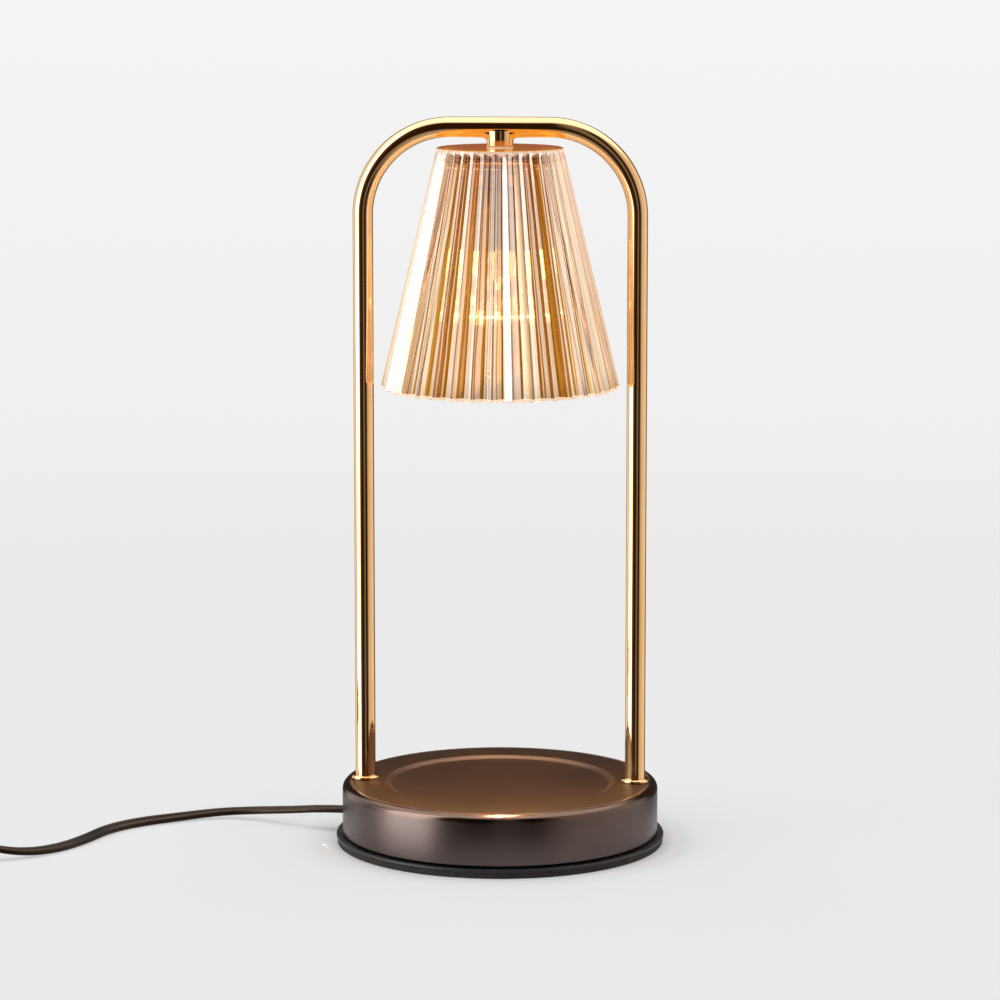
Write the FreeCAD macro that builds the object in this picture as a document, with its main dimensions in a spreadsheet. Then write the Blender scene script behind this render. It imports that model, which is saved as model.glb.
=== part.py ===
import FreeCAD, Part
import math
import os
import re

import Sketcher

# Candle warmer lamp: a weighted round base, a brass-coloured tube arch standing on it, and a
# ribbed glass shade with a reflector bulb hung from the middle of the arch.
# Millimetres, +Z up, +X along the arch, origin at the middle of the base on the table.

SIZES = {
    # base
    "pad_inset": 0.5,
    "pad_thickness": 2.6,
    "plate_lip": 2.8,
    "plate_thickness": 1.4,
    "plate_edge_radius": 0.5,
    "shell_gap": 0.8,
    "shell_diameter": 142.4,
    "shell_height": 22.6,
    "shell_wall": 1.5,
    "shell_edge_radius": 3.2,
    "recess_diameter": 101.0,
    "recess_slope": 2.5,
    "recess_depth": 1.2,
    "post_inset": 13.2,
    "post_diameter": 7.0,
    "post_count": 3,
    "post_angle": 90.0,
    "post_screw_diameter": 3.0,
    "post_screw_length": 10.0,
    "ballast_diameter": 88.0,
    "ballast_thickness": 12.0,
    "ballast_screw_circle": 50.0,
    "ballast_screw_count": 2,
    "ballast_screw_diameter": 4.0,
    "ballast_screw_length": 9.0,
    "pan_head_ratio": 1.9,
    "pan_head_thickness": 1.8,
    "screw_clearance": 0.4,
    # arch
    "frame_height": 326.5,
    "leg_inset": 10.2,
    "tube_diameter": 9.0,
    "tube_bore": 6.0,
    "tube_bend_radius": 39.0,
    "leg_thread_diameter": 8.0,
    "leg_thread_length": 8.0,
    "collar_diameter": 12.6,
    "collar_height": 1.8,
    "collar_edge_radius": 1.1,
    "washer_diameter": 13.8,
    "washer_thickness": 0.8,
    "nut_width": 13.0,
    "leg_nut_height": 4.0,
    "fit_clearance": 0.2,
    # hanger, shade and lampholder
    "stem_diameter": 11.8,
    "stem_drop": 8.4,
    "stem_saddle_rise": 3.0,
    "stem_edge_radius": 1.2,
    "nipple_diameter": 8.0,
    "nipple_bore": 5.6,
    "nipple_engagement": 3.4,
    "gasket_thickness": 0.6,
    "lower_gasket_diameter": 38.0,
    "shade_height": 107.0,
    "shade_top_diameter": 56.0,
    "shade_bottom_diameter": 106.8,
    "shade_top_thickness": 5.0,
    "shade_wall": 3.0,
    "rib_count": 36,
    "rib_depth": 2.0,
    "rib_top_drop": 1.6,
    "retainer_diameter": 44.0,
    "retainer_thickness": 1.2,
    "bracket_thickness": 1.2,
    "bracket_width": 14.0,
    "bracket_drop": 18.0,
    "shade_nut_height": 3.2,
    "nipple_end": 0.8,
    "holder_diameter": 27.0,
    "holder_height": 11.0,
    "holder_drop": 22.2,
    "holder_floor": 2.4,
    "holder_roof": 3.0,
    "holder_screw_diameter": 3.0,
    "holder_screw_depth": 5.0,
    "holder_screw_rise": 6.0,
    # bulb
    "bulb_gap": 0.5,
    "bulb_length": 47.0,
    "bulb_diameter": 50.0,
    "bulb_neck_diameter": 30.0,
    "bulb_neck_length": 15.5,
    "bulb_neck_cap": 3.6,
    "bulb_waist_step": 1.5,
    "bulb_rim_height": 3.2,
    "bulb_glass_wall": 1.2,
    "bulb_glass_inset": 0.5,
    "reflector_shoulder": 4.0,
    "reflector_round": 12.0,
    "pin_circle": 10.0,
    "pin_diameter": 2.6,
    "pin_head_diameter": 4.6,
    "pin_length": 7.0,
    "pin_head_length": 3.8,
    "pin_clearance": 0.3,
    "slot_relief": 0.1,
    "bulb_twist": 25.0,
    "contact_thickness": 0.6,
    "contact_stud_diameter": 1.8,
    "contact_stud_rise": 1.0,
    "capsule_diameter": 10.0,
    "capsule_length": 26.0,
    "capsule_wall": 1.0,
    "capsule_pinch": 7.0,
    "filament_diameter": 1.6,
    "filament_length": 8.0,
    "filament_stem": 0.8,
    # wiring
    "lamp_wire_diameter": 2.0,
    "lamp_wire_spacing": 2.3,
    "core_diameter": 1.8,
    "core_spacing": 2.4,
    "splice_diameter": 7.0,
    "splice_length": 14.0,
    "splice_bore": 4.6,
    "splice_end_wall": 1.5,
    "splice_spacing": 8.5,
    "splice_gap": 0.5,
    "splice_mouth": 8.0,
    "wire_rise": 3.0,
    "wire_gather": 0.5,
    "wire_turn_height": 5.0,
    "wire_run_in": 4.0,
    "core_run_out": 3.5,
    "core_run_in": 3.0,
    # cord
    "cord_diameter": 5.2,
    "cord_angle": 170.0,
    "cord_height": 9.8,
    "cord_inside": 7.0,
    "cord_straight": 10.8,
    "grommet_flange": 8.8,
    "grommet_flange_thickness": 1.0,
    "grommet_neck": 7.2,
    "coil_diameter": 60.0,
    "coil_width": 11.6,
    "coil_height": 10.4,
    "coil_center_x": -348.5,
    "coil_center_y": 6.0,
    "tie_width": 8.0,
    "tie_thickness": 0.8,
    "tie_proud": 0.4,
    # dimmer on the cord
    "dimmer_x": -290.0,
    "dimmer_y": -57.0,
    "dimmer_length": 72.0,
    "dimmer_width": 27.0,
    "dimmer_height": 16.0,
    "dimmer_wall": 1.6,
    "dimmer_corner_radius": 9.0,
    "dimmer_edge_radius": 2.5,
    "wheel_diameter": 24.0,
    "wheel_thickness": 4.4,
    "wheel_overhang": 3.0,
    "wheel_clearance": 0.5,
    "wheel_notch_count": 24,
    "wheel_notch_diameter": 1.6,
    "spindle_diameter": 4.0,
    "spindle_length": 9.0,
    "spindle_boss_diameter": 8.0,
    "board_length": 62.0,
    "board_width": 20.0,
    "board_thickness": 1.4,
    "board_rise": 1.0,
    "pot_size": 11.0,
    "pot_height": 1.3,
    "triac_length": 14.0,
    "triac_width": 10.0,
    "triac_height": 4.5,
    "capacitor_length": 13.0,
    "capacitor_width": 6.0,
    "capacitor_height": 8.0,
    "triac_x": 19.0,
    "capacitor_x": -18.2,
    "capacitor_y": 5.0,
    "dimmer_screw_x": 29.0,
    "dimmer_screw_y": 6.5,
    "dimmer_screw_diameter": 2.2,
    "dimmer_screw_length": 10.0,
    "dimmer_screw_head": 4.2,
    "dimmer_screw_head_thickness": 1.0,
    "dimmer_screw_sink": 0.2,
    "dimmer_boss_diameter": 5.0,
    "board_wire_x": 26.0,
    "relief_length": 14.0,
    "relief_diameter": 9.0,
    "relief_tip_diameter": 6.6,
    "relief_flange": 8.4,
    "relief_flange_thickness": 1.2,
    # plug
    "plug_tip_x": -314.0,
    "plug_y": 37.5,
    "plug_relief_length": 20.0,
    "plug_relief_diameter": 11.0,
    "plug_body_length": 26.0,
    "plug_body_width": 25.0,
    "plug_body_height": 15.0,
    "plug_corner_radius": 3.0,
    "blade_spacing": 12.7,
    "blade_length": 16.0,
    "blade_thickness": 1.5,
    "narrow_blade_width": 6.3,
    "wide_blade_width": 7.9,
    "blade_rooting": 8.0,
    "blade_hole_diameter": 3.2,
    "blade_hole_inset": 4.0,
}

# Levels and radii worked out from the sizes, as expressions in their names.
DERIVED = {
    "plate_diameter": "shell_diameter + 2 * plate_lip",
    "pad_diameter": "plate_diameter - 2 * pad_inset",
    "post_circle": "shell_diameter - 2 * post_inset",
    "plate_top": "pad_thickness + plate_thickness",
    "shell_foot": "plate_top + shell_gap",
    "shell_top": "shell_foot + shell_height",
    "shell_underside": "shell_top - shell_wall",
    "shell_inner_radius": "shell_diameter / 2 - shell_wall",
    "recess_floor": "shell_top - recess_depth",
    "recess_rim_radius": "recess_diameter / 2 + recess_slope / 2",
    "recess_floor_radius": "recess_diameter / 2 - recess_slope / 2",
    "ballast_top": "plate_top + ballast_thickness",
    "leg_x": "shell_diameter / 2 - leg_inset",
    "bar_z": "frame_height - tube_diameter / 2",
    "stem_bottom": "bar_z - stem_drop",
    "stem_top": "bar_z - tube_diameter / 2 + stem_saddle_rise",
    "shade_top": "stem_bottom - gasket_thickness",
    "shade_bottom": "shade_top - shade_height",
    "shade_ceiling": "shade_top - shade_top_thickness",
    "valley_top_radius": "shade_top_diameter / 2 - rib_depth",
    "valley_bottom_radius": "shade_bottom_diameter / 2 - rib_depth",
    "wall_slope": "(valley_bottom_radius - valley_top_radius) / shade_height",
    "ceiling_radius": "valley_top_radius + wall_slope * shade_top_thickness - shade_wall",
    "rib_top": "shade_top - rib_top_drop",
    "rib_top_radius": "valley_top_radius + wall_slope * rib_top_drop + rib_depth",
    "rib_bottom_half": "pi * valley_bottom_radius / rib_count",
    "rib_top_half": "pi * (rib_top_radius - rib_depth) / rib_count",
    "rib_bottom_round": "(rib_bottom_half ^ 2 + rib_depth ^ 2) / (2 * rib_depth)",
    "rib_top_round": "(rib_top_half ^ 2 + rib_depth ^ 2) / (2 * rib_depth)",
    "retainer_top": "shade_ceiling - gasket_thickness",
    "bracket_top": "retainer_top - retainer_thickness",
    "shade_nut_top": "bracket_top - bracket_thickness",
    "nipple_bottom": "shade_nut_top - shade_nut_height - nipple_end",
    "nipple_top": "stem_bottom + nipple_engagement",
    "holder_bottom": "bracket_top - holder_drop",
    "holder_top": "holder_bottom + holder_height",
    "holder_ceiling": "holder_top - holder_roof",
    "holder_floor_top": "holder_bottom + holder_floor",
    "bulb_top": "holder_bottom - bulb_gap",
    "bulb_face": "bulb_top - bulb_length",
    "pin_radius": "pin_circle / 2",
    "pin_top": "bulb_top + pin_length",
    "pin_head_bottom": "pin_top - pin_head_length",
    "contact_bottom": "pin_top + pin_clearance",
    "contact_top": "contact_bottom + contact_thickness",
    "stud_top": "holder_top + contact_stud_rise",
    "capsule_top": "bulb_top - bulb_neck_cap",
    "capsule_bottom": "capsule_top - capsule_length",
    "pinch_bottom": "capsule_top - capsule_pinch",
    "filament_bottom": "capsule_bottom + capsule_diameter / 2",
    "splice_z": "plate_top + splice_diameter / 2",
    "splice_far_x": "-ballast_diameter / 2 - splice_gap - splice_diameter / 2",
    "splice_near_x": "splice_far_x - splice_spacing",
    "splice_end": "-splice_mouth - splice_length",
    "wire_end_y": "splice_end + splice_end_wall + fit_clearance",
    "splice_play": "(splice_bore - lamp_wire_diameter - core_diameter) / 4",
    "spliced_wire_z": "splice_z + core_diameter / 2 + splice_play",
    "spliced_core_z": "splice_z - lamp_wire_diameter / 2 - splice_play",
    "dimmer_axis": "dimmer_height / 2",
    "wheel_y": "-dimmer_width / 2 - wheel_overhang + wheel_diameter / 2",
    "wheel_bottom": "dimmer_axis - wheel_thickness / 2",
    "wheel_top": "dimmer_axis + wheel_thickness / 2",
    "spindle_bottom": "pot_top - pot_height + wheel_clearance / 2",
    "pot_top": "board_top + pot_height",
    "dimmer_ceiling": "dimmer_height - dimmer_wall",
    "wheel_slot_half": "sqrt((wheel_diameter / 2 + wheel_clearance) ^ 2"
    " - (wheel_diameter / 2 - wheel_overhang - dimmer_wall) ^ 2) + wheel_clearance",
    "board_bottom": "dimmer_wall + board_rise",
    "board_top": "board_bottom + board_thickness",
    "plug_z": "plug_body_height / 2",
    "plug_back": "plug_tip_x + plug_relief_length",
    "plug_face": "plug_back + plug_body_length",
    "neck_bottom": "bulb_top - bulb_neck_length",
    "rim_top": "bulb_face + bulb_rim_height",
}

# The cord's line: from the base to the dimmer, from the dimmer to the coil, from the coil to the plug.
LEAD_ROUTE = [
    (-98.5, 21.8, 6.8),
    (-115.0, 31.0, 4.3),
    (-133.0, 32.5, 3.1),
    (-150.5, 23.5, 2.7),
    (-167.5, 12.3, 2.6),
    (-179.5, -2.7, 2.6),
    (-186.0, -21.0, 2.6),
    (-195.5, -38.5, 2.6),
    (-209.0, -51.0, 3.3),
    (-224.8, -56.3, 6.3),
]
TAIL_ROUTE = [
    (-354.5, -56.2, 6.4),
    (-368.5, -49.5, 3.8),
    (-378.0, -38.0, 2.6),
    (-382.4, -23.5, 2.6),
    (-383.2, -9.0, 2.6),
    (-382.9, 4.0, 2.6),
]
END_ROUTE = [
    (-350.0, 40.4, 7.8),
    (-338.0, 40.0, 8.0),
    (-326.0, 38.4, 7.8),
]

# Bend radii of the inner wires: in open space, and close to the terminals.
WIRE_BEND = 3.0
TIGHT_BEND = 1.5
# How much of the shorter of two runs the outer cord's bend between them may take.
BEND_SHARE = 0.45

document = FreeCAD.newDocument("candle_warmer_lamp")
sheet = document.addObject("Spreadsheet::Sheet", "sizes")
for row, (alias, size) in enumerate(SIZES.items(), start=1):
    sheet.set(f"A{row}", str(size))
    sheet.setAlias(f"A{row}", alias)
document.recompute()

parts = []


# ---------------------------------------------------------------- expressions and sketches


def expand(text):
    """Turns named sizes and levels into a FreeCAD expression on the sheet's cells."""

    def swap(match):
        word = match.group(0)
        if word in DERIVED:
            return f"({expand(DERIVED[word])})"
        return f"sizes.{word}" if word in SIZES else word

    return re.sub(r"[a-z][a-z_]*", swap, str(text))


def value(text):
    """The number that an expression in named sizes has now."""
    return float(sheet.evalExpression(expand(text)))


def bind(thing, **properties):
    """Binds properties, such as Length or Placement__Base__z, to expressions."""
    for name, text in properties.items():
        thing.setExpression(name.replace("__", "."), expand(text))


def new_body(label):
    body = document.addObject("PartDesign::Body", label)
    body.Label = label
    parts.append(body)
    return body


def new_sketch(body, role, lift="0"):
    """A sketch on one of the body's own origin planes, moved along its normal by lift."""
    sketch = body.newObject("Sketcher::SketchObject", "profile")
    plane = next(f for f in body.Origin.OriginFeatures if f.Role == role)
    sketch.AttachmentSupport = (plane, [""])
    sketch.MapMode = "FlatFace"
    bind(sketch, AttachmentOffset__Base__z=lift)
    return sketch


def limit(sketch, kind, *ends, text):
    """Adds one dimension to a sketch and binds it to an expression."""
    index = sketch.addConstraint(Sketcher.Constraint(kind, *ends, value(text)))
    sketch.setExpression(f"Constraints[{index}]", expand(text))


def outline(sketch, *corners):
    """A closed outline through corners (x, y) or (x, y, round), all of them expressions."""
    points = [FreeCAD.Vector(value(c[0]), value(c[1]), 0) for c in corners]
    count = len(points)
    first = sketch.GeometryCount
    for index, point in enumerate(points):
        sketch.addGeometry(Part.LineSegment(point, points[(index + 1) % count]), False)
    for index in range(count):
        following = first + (index + 1) % count
        sketch.addConstraint(Sketcher.Constraint("Coincident", first + index, 2, following, 1))
    for index, corner in enumerate(corners):
        limit(sketch, "DistanceX", -1, 1, first + index, 1, text=corner[0])
        limit(sketch, "DistanceY", -1, 1, first + index, 1, text=corner[1])
    for index, corner in enumerate(corners):
        if len(corner) == 3:
            arc = sketch.GeometryCount
            sketch.fillet(first + index, 1, value(corner[2]), True, True)
            limit(sketch, "Radius", arc, text=corner[2])


def circle(sketch, across, x="0", y="0"):
    center = FreeCAD.Vector(value(x), value(y), 0)
    geometry = Part.Circle(center, FreeCAD.Vector(0, 0, 1), value(across) / 2)
    index = sketch.addGeometry(geometry, False)
    limit(sketch, "DistanceX", -1, 1, index, 3, text=x)
    limit(sketch, "DistanceY", -1, 1, index, 3, text=y)
    limit(sketch, "Diameter", index, text=across)


def rectangle(sketch, left, right, low, high, *corner_round):
    """A rectangle between expressions, with its corners rounded if a radius is given."""
    corners = [(left, low), (right, low), (right, high), (left, high)]
    outline(sketch, *[corner + corner_round for corner in corners])


# ---------------------------------------------------------------- features


def pad(body, sketch, length, down=False):
    feature = body.newObject("PartDesign::Pad", "pad")
    feature.Profile = sketch
    feature.Reversed = down
    bind(feature, Length=length)
    document.recompute()
    return feature


def pocket(body, sketch, length, up=False):
    """A cut from the sketch along its normal turned round, or along it where up is set."""
    before = body.Shape.Volume
    feature = body.newObject("PartDesign::Pocket", "pocket")
    feature.Profile = sketch
    feature.Reversed = up
    bind(feature, Length=length)
    document.recompute()
    if not body.Shape.Volume < before:
        raise RuntimeError(f"a pocket in {body.Label} cuts nothing")
    return feature


def z_axis(body):
    return next(f for f in body.Origin.OriginFeatures if f.Role == "Z_Axis"), [""]


def revolve(body, sketch, kind="PartDesign::Revolution", angle="360", clockwise=False):
    before = body.Shape.Volume if body.Tip else 0
    feature = body.newObject(kind, "turning")
    feature.Profile = sketch
    feature.ReferenceAxis = z_axis(body)
    feature.Reversed = clockwise
    bind(feature, Angle=angle)
    document.recompute()
    if kind == "PartDesign::Groove" and not body.Shape.Volume < before:
        raise RuntimeError(f"a groove in {body.Label} cuts nothing")
    return feature


def ring_pattern(body, features, count):
    """Repeats features round the body's Z axis."""
    pattern = body.newObject("PartDesign::PolarPattern", "pattern")
    pattern.Originals = features
    pattern.Axis = z_axis(body)
    pattern.Angle = 360
    bind(pattern, Occurrences=count)
    body.Tip = pattern
    document.recompute()
    return pattern


def turned(label, *corners, x="0", y="0"):
    """A piece turned about a vertical axis at x, y from an outline of (radius, height)."""
    body = new_body(label)
    sketch = new_sketch(body, "XZ_Plane")
    outline(sketch, *corners)
    revolve(body, sketch)
    bind(body, Placement__Base__x=x, Placement__Base__y=y)
    return body


def round_edges(body, radius, chosen):
    """Fillets the edges that the test picks, at a radius given as an expression."""
    base = body.Tip
    names = [f"Edge{i}" for i, edge in enumerate(base.Shape.Edges, start=1) if chosen(edge)]
    if not names:
        raise RuntimeError(f"no edge to round on {body.Label}")
    feature = body.newObject("PartDesign::Fillet", "rounding")
    feature.Base = (base, names)
    bind(feature, Radius=radius)
    document.recompute()
    return feature


def circle_edge(across, level):
    """A test for full circles of a diameter at a height."""

    def chosen(edge):
        curve = edge.Curve
        if not isinstance(curve, Part.Circle) or len(edge.Vertexes) != 1:
            return False
        same_size = abs(2 * curve.Radius - value(across)) < 1e-4
        return same_size and abs(curve.Center.z - value(level)) < 1e-4

    return chosen


# ---------------------------------------------------------------- solids joined into one node


def cylinder(across, low, high, x="0", y="0"):
    """A plain vertical cylinder between two levels."""
    solid = document.addObject("Part::Cylinder", "cylinder")
    bind(solid, Radius=f"({across}) / 2", Height=f"({high}) - ({low})")
    bind(solid, Placement__Base__x=x, Placement__Base__y=y, Placement__Base__z=low)
    return solid


def block(left, right, front, back, low, high):
    """A plain box between six expressions."""
    solid = document.addObject("Part::Box", "block")
    bind(solid, Length=f"({right}) - ({left})", Width=f"({back}) - ({front})")
    bind(solid, Height=f"({high}) - ({low})")
    bind(solid, Placement__Base__x=left, Placement__Base__y=front, Placement__Base__z=low)
    return solid


def rod_along_x(across, start, end, y, z):
    """A plain cylinder along X between two places."""
    solid = document.addObject("Part::Cylinder", "rod")
    bind(solid, Radius=f"({across}) / 2", Height=f"({end}) - ({start})")
    solid.Placement.Rotation = FreeCAD.Rotation(FreeCAD.Vector(0, 1, 0), 90)
    bind(solid, Placement__Base__x=start, Placement__Base__y=y, Placement__Base__z=z)
    return solid


def rod_along_y(across, start, end, x, z):
    """A plain cylinder along Y between two places."""
    solid = document.addObject("Part::Cylinder", "rod")
    bind(solid, Radius=f"({across}) / 2", Height=f"({end}) - ({start})")
    solid.Placement.Rotation = FreeCAD.Rotation(FreeCAD.Vector(1, 0, 0), -90)
    bind(solid, Placement__Base__x=x, Placement__Base__y=start, Placement__Base__z=z)
    return solid


def taper_along_x(across, tip_across, start, tip, y, z):
    """A cone between two diameters, from start to its tip on either side."""
    solid = document.addObject("Part::Cone", "taper")
    toward = 90 if value(tip) > value(start) else -90
    bind(solid, Radius1=f"({across}) / 2", Radius2=f"({tip_across}) / 2")
    bind(solid, Height=f"abs(({tip}) - ({start}))")
    solid.Placement.Rotation = FreeCAD.Rotation(FreeCAD.Vector(0, 1, 0), toward)
    bind(solid, Placement__Base__x=start, Placement__Base__y=y, Placement__Base__z=z)
    return solid


def fused(*solids):
    joined = document.addObject("Part::MultiFuse", "joined")
    joined.Shapes = list(solids)
    return joined


def cut(base, *tools):
    result = document.addObject("Part::Cut", "trimmed")
    result.Base = base
    result.Tool = tools[0] if len(tools) == 1 else fused(*tools)
    return result


def node(label, *solids):
    """One named sub-part: a single solid, or a group of like solids."""
    part = solids[0]
    if len(solids) > 1:
        part = document.addObject("Part::Compound", label)
        part.Links = list(solids)
    part.Label = label
    parts.append(part)
    document.recompute()
    return part


def on_circle(across, count, start="0"):
    """Places spread evenly on a circle about the lamp's axis, as pairs of expressions."""
    places = []
    for index in range(int(value(count))):
        turn = f"({start}) + 360 * {index} / ({count})"
        places.append((f"({across}) / 2 * cos({turn})", f"({across}) / 2 * sin({turn})"))
    return places


# ---------------------------------------------------------------- cords and wires


def bent_line(points, bends):
    """Straight runs through points, joined by tangent arcs of the given radii."""
    edges = []
    start = points[0]
    for before, corner, after, bend in zip(points, points[1:], points[2:], bends):
        back = (before - corner).normalize()
        ahead = (after - corner).normalize()
        half = (math.pi - back.getAngle(ahead)) / 2
        reach = bend * math.tan(half)
        into = corner + back * reach
        out = corner + ahead * reach
        middle = corner + (back + ahead).normalize() * (bend / math.cos(half) - bend)
        edges.append(Part.LineSegment(start, into).toShape())
        edges.append(Part.Arc(into, middle, out).toShape())
        start = out
    edges.append(Part.LineSegment(start, points[-1]).toShape())
    return Part.Wire(edges)


def largest_bends(points):
    """The largest arc that each inner point's two runs allow."""
    bends = []
    for before, corner, after in zip(points, points[1:], points[2:]):
        turn = (corner - before).getAngle(after - corner)
        shorter = min((corner - before).Length, (after - corner).Length)
        bends.append(BEND_SHARE * shorter / math.tan(turn / 2))
    return bends


def tube_along(points, across, bends):
    """A solid round tube along a bent line, checked against its section times its length."""
    path = bent_line(points, bends)
    section = Part.Wire(Part.Circle(points[0], points[1] - points[0], across / 2).toShape())
    solid = path.makePipeShell([section], True, True)
    expected = math.pi * across**2 / 4 * path.Length
    if abs(solid.Volume - expected) > 0.01 * expected:
        raise RuntimeError("a tube's volume differs from its section times its length")
    return solid, path.Length


def wires(label, across, bend, *routes):
    """One node of round wires, each along its own points given as expressions."""
    lines = [[FreeCAD.Vector(*[value(v) for v in point[:3]]) for point in route] for route in routes]
    origin = lines[0][0]
    solids = []
    for route, line in zip(routes, lines):
        bends = [value(p[3]) if len(p) == 4 else bend for p in route[1:-1]]
        solid, _ = tube_along([point - origin for point in line], value(across), bends)
        solids.append(solid)
    part = document.addObject("Part::Feature", label)
    part.Shape = Part.makeCompound(solids)
    part.Placement = FreeCAD.Placement(origin, FreeCAD.Rotation())
    part.Label = label
    parts.append(part)


def cord(label, points):
    """One stretch of the round outer cord, with its length and bend radii printed."""
    points = [FreeCAD.Vector(*point) for point in points]
    bends = largest_bends(points)
    solid, length = tube_along([point - points[0] for point in points], value("cord_diameter"), bends)
    print(f"{label}: {length:.1f} mm long, bend radii", [round(bend, 1) for bend in bends])
    part = document.addObject("Part::Feature", label)
    part.Shape = solid
    part.Placement = FreeCAD.Placement(points[0], FreeCAD.Rotation())
    part.Label = label
    parts.append(part)


# ---------------------------------------------------------------- base


def screw_spots():
    """Each bottom screw's place, thread diameter and length."""
    posts = on_circle("post_circle", "post_count", "post_angle")
    weights = on_circle("ballast_screw_circle", "ballast_screw_count")
    spots = [(x, y, "post_screw_diameter") for x, y in posts]
    return spots + [(x, y, "ballast_screw_diameter") for x, y in weights]


def make_anti_slip_pad():
    body = new_body("anti_slip_pad")
    sketch = new_sketch(body, "XY_Plane")
    circle(sketch, "pad_diameter")
    pad(body, sketch, "pad_thickness")
    holes = new_sketch(body, "XY_Plane")
    for x, y, thread in screw_spots():
        circle(holes, f"{thread} * pan_head_ratio + 2 * screw_clearance", x, y)
    pocket(body, holes, "pad_thickness", up=True)


def make_base_plate():
    body = new_body("base_plate")
    sketch = new_sketch(body, "XY_Plane", "pad_thickness")
    circle(sketch, "plate_diameter")
    pad(body, sketch, "plate_thickness")
    holes = new_sketch(body, "XY_Plane", "pad_thickness")
    for x, y, thread in screw_spots():
        circle(holes, f"{thread} + screw_clearance", x, y)
    pocket(body, holes, "plate_thickness", up=True)
    round_edges(body, "plate_edge_radius", circle_edge("plate_diameter", "plate_top"))


def make_base_shell():
    body = new_body("base_shell")
    sketch = new_sketch(body, "XZ_Plane")
    inner_round = "shell_edge_radius - shell_wall"
    outline(
        sketch,
        ("shell_inner_radius", "shell_foot"),
        ("shell_diameter / 2", "shell_foot"),
        ("shell_diameter / 2", "shell_top", "shell_edge_radius"),
        ("recess_rim_radius", "shell_top", "recess_depth"),
        ("recess_floor_radius", "recess_floor", "recess_depth"),
        ("0", "recess_floor"),
        ("0", "recess_floor - shell_wall"),
        ("recess_floor_radius", "recess_floor - shell_wall", "recess_depth"),
        ("recess_rim_radius", "shell_underside", "recess_depth"),
        ("shell_inner_radius", "shell_underside", inner_round),
    )
    revolve(body, sketch)
    legs = new_sketch(body, "XY_Plane", "shell_top")
    for side in ("-leg_x", "leg_x"):
        circle(legs, "leg_thread_diameter + fit_clearance", side)
    pocket(body, legs, "2 * shell_wall")
    cord_hole = new_sketch(body, "YZ_Plane", "shell_diameter / 2")
    turn_about_z(cord_hole)
    circle(cord_hole, "grommet_neck", y="cord_height")
    pocket(body, cord_hole, "2 * shell_wall")


def turn_about_z(sketch):
    """Turns a sketch on the YZ plane about Z, so that its normal points along the cord."""
    lift = sketch.AttachmentOffset.Base
    sketch.AttachmentOffset = FreeCAD.Placement(lift, FreeCAD.Rotation(FreeCAD.Vector(0, 1, 0), 1))
    bind(
        sketch,
        AttachmentOffset__Base__x="shell_diameter / 2 * sin(cord_angle)",
        AttachmentOffset__Base__z="shell_diameter / 2 * cos(cord_angle)",
        AttachmentOffset__Rotation__Angle="cord_angle",
    )


def make_base_posts():
    posts = []
    for x, y in on_circle("post_circle", "post_count", "post_angle"):
        post = cylinder("post_diameter", "plate_top", "shell_underside", x, y)
        thread = cylinder("post_screw_diameter", "plate_top", "pad_thickness + post_screw_length", x, y)
        posts.append(cut(post, thread))
    node("base_posts", *posts)


def pan_screw(thread, length, x, y):
    """A screw driven up through the base plate, its head under the plate."""
    low = "pad_thickness - pan_head_thickness"
    head = cylinder(f"{thread} * pan_head_ratio", low, "pad_thickness", x, y)
    shank = cylinder(thread, "pad_thickness", f"pad_thickness + {length}", x, y)
    return fused(head, shank)


def make_base_screws():
    spots = on_circle("post_circle", "post_count", "post_angle")
    screws = [pan_screw("post_screw_diameter", "post_screw_length", x, y) for x, y in spots]
    node("base_plate_screws", *screws)
    spots = on_circle("ballast_screw_circle", "ballast_screw_count")
    screws = [pan_screw("ballast_screw_diameter", "ballast_screw_length", x, y) for x, y in spots]
    node("ballast_screws", *screws)


def make_ballast():
    body = new_body("ballast_weight")
    sketch = new_sketch(body, "XY_Plane", "plate_top")
    circle(sketch, "ballast_diameter")
    pad(body, sketch, "ballast_thickness")
    holes = new_sketch(body, "XY_Plane", "plate_top")
    for x, y in on_circle("ballast_screw_circle", "ballast_screw_count"):
        circle(holes, "ballast_screw_diameter", x, y)
    pocket(body, holes, "ballast_screw_length - plate_thickness", up=True)
    round_edges(body, "plate_edge_radius", circle_edge("ballast_diameter", "ballast_top"))


def cord_point(radius, aside="0"):
    """A point on the line of the cord's exit, at a radius from the lamp's axis."""
    along = math.radians(value("cord_angle"))
    outward = FreeCAD.Vector(math.cos(along), math.sin(along), 0)
    across = FreeCAD.Vector(-math.sin(along), math.cos(along), 0)
    return outward * value(radius) + across * value(aside) + FreeCAD.Vector(0, 0, value("cord_height"))


def make_cord_grommet():
    """A bush through the shell's wall, turned about its own axis and then laid radially."""
    body = new_body("cord_grommet")
    sketch = new_sketch(body, "XZ_Plane")
    outline(
        sketch,
        ("cord_diameter / 2", "-shell_wall - grommet_flange_thickness - fit_clearance"),
        ("grommet_flange / 2", "-shell_wall - grommet_flange_thickness - fit_clearance"),
        ("grommet_flange / 2", "-shell_wall - fit_clearance"),
        ("grommet_neck / 2", "-shell_wall - fit_clearance"),
        ("grommet_neck / 2", "0"),
        ("grommet_flange / 2", "0"),
        ("grommet_flange / 2", "grommet_flange_thickness", "grommet_flange_thickness / 2"),
        ("cord_diameter / 2", "grommet_flange_thickness"),
    )
    revolve(body, sketch)
    body.Placement.Rotation = FreeCAD.Rotation(FreeCAD.Vector(0, 0, 1), cord_point("1") - cord_point("0"))
    bind(
        body,
        Placement__Base__x="shell_diameter / 2 * cos(cord_angle)",
        Placement__Base__y="shell_diameter / 2 * sin(cord_angle)",
        Placement__Base__z="cord_height",
    )


# ---------------------------------------------------------------- arch


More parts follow.
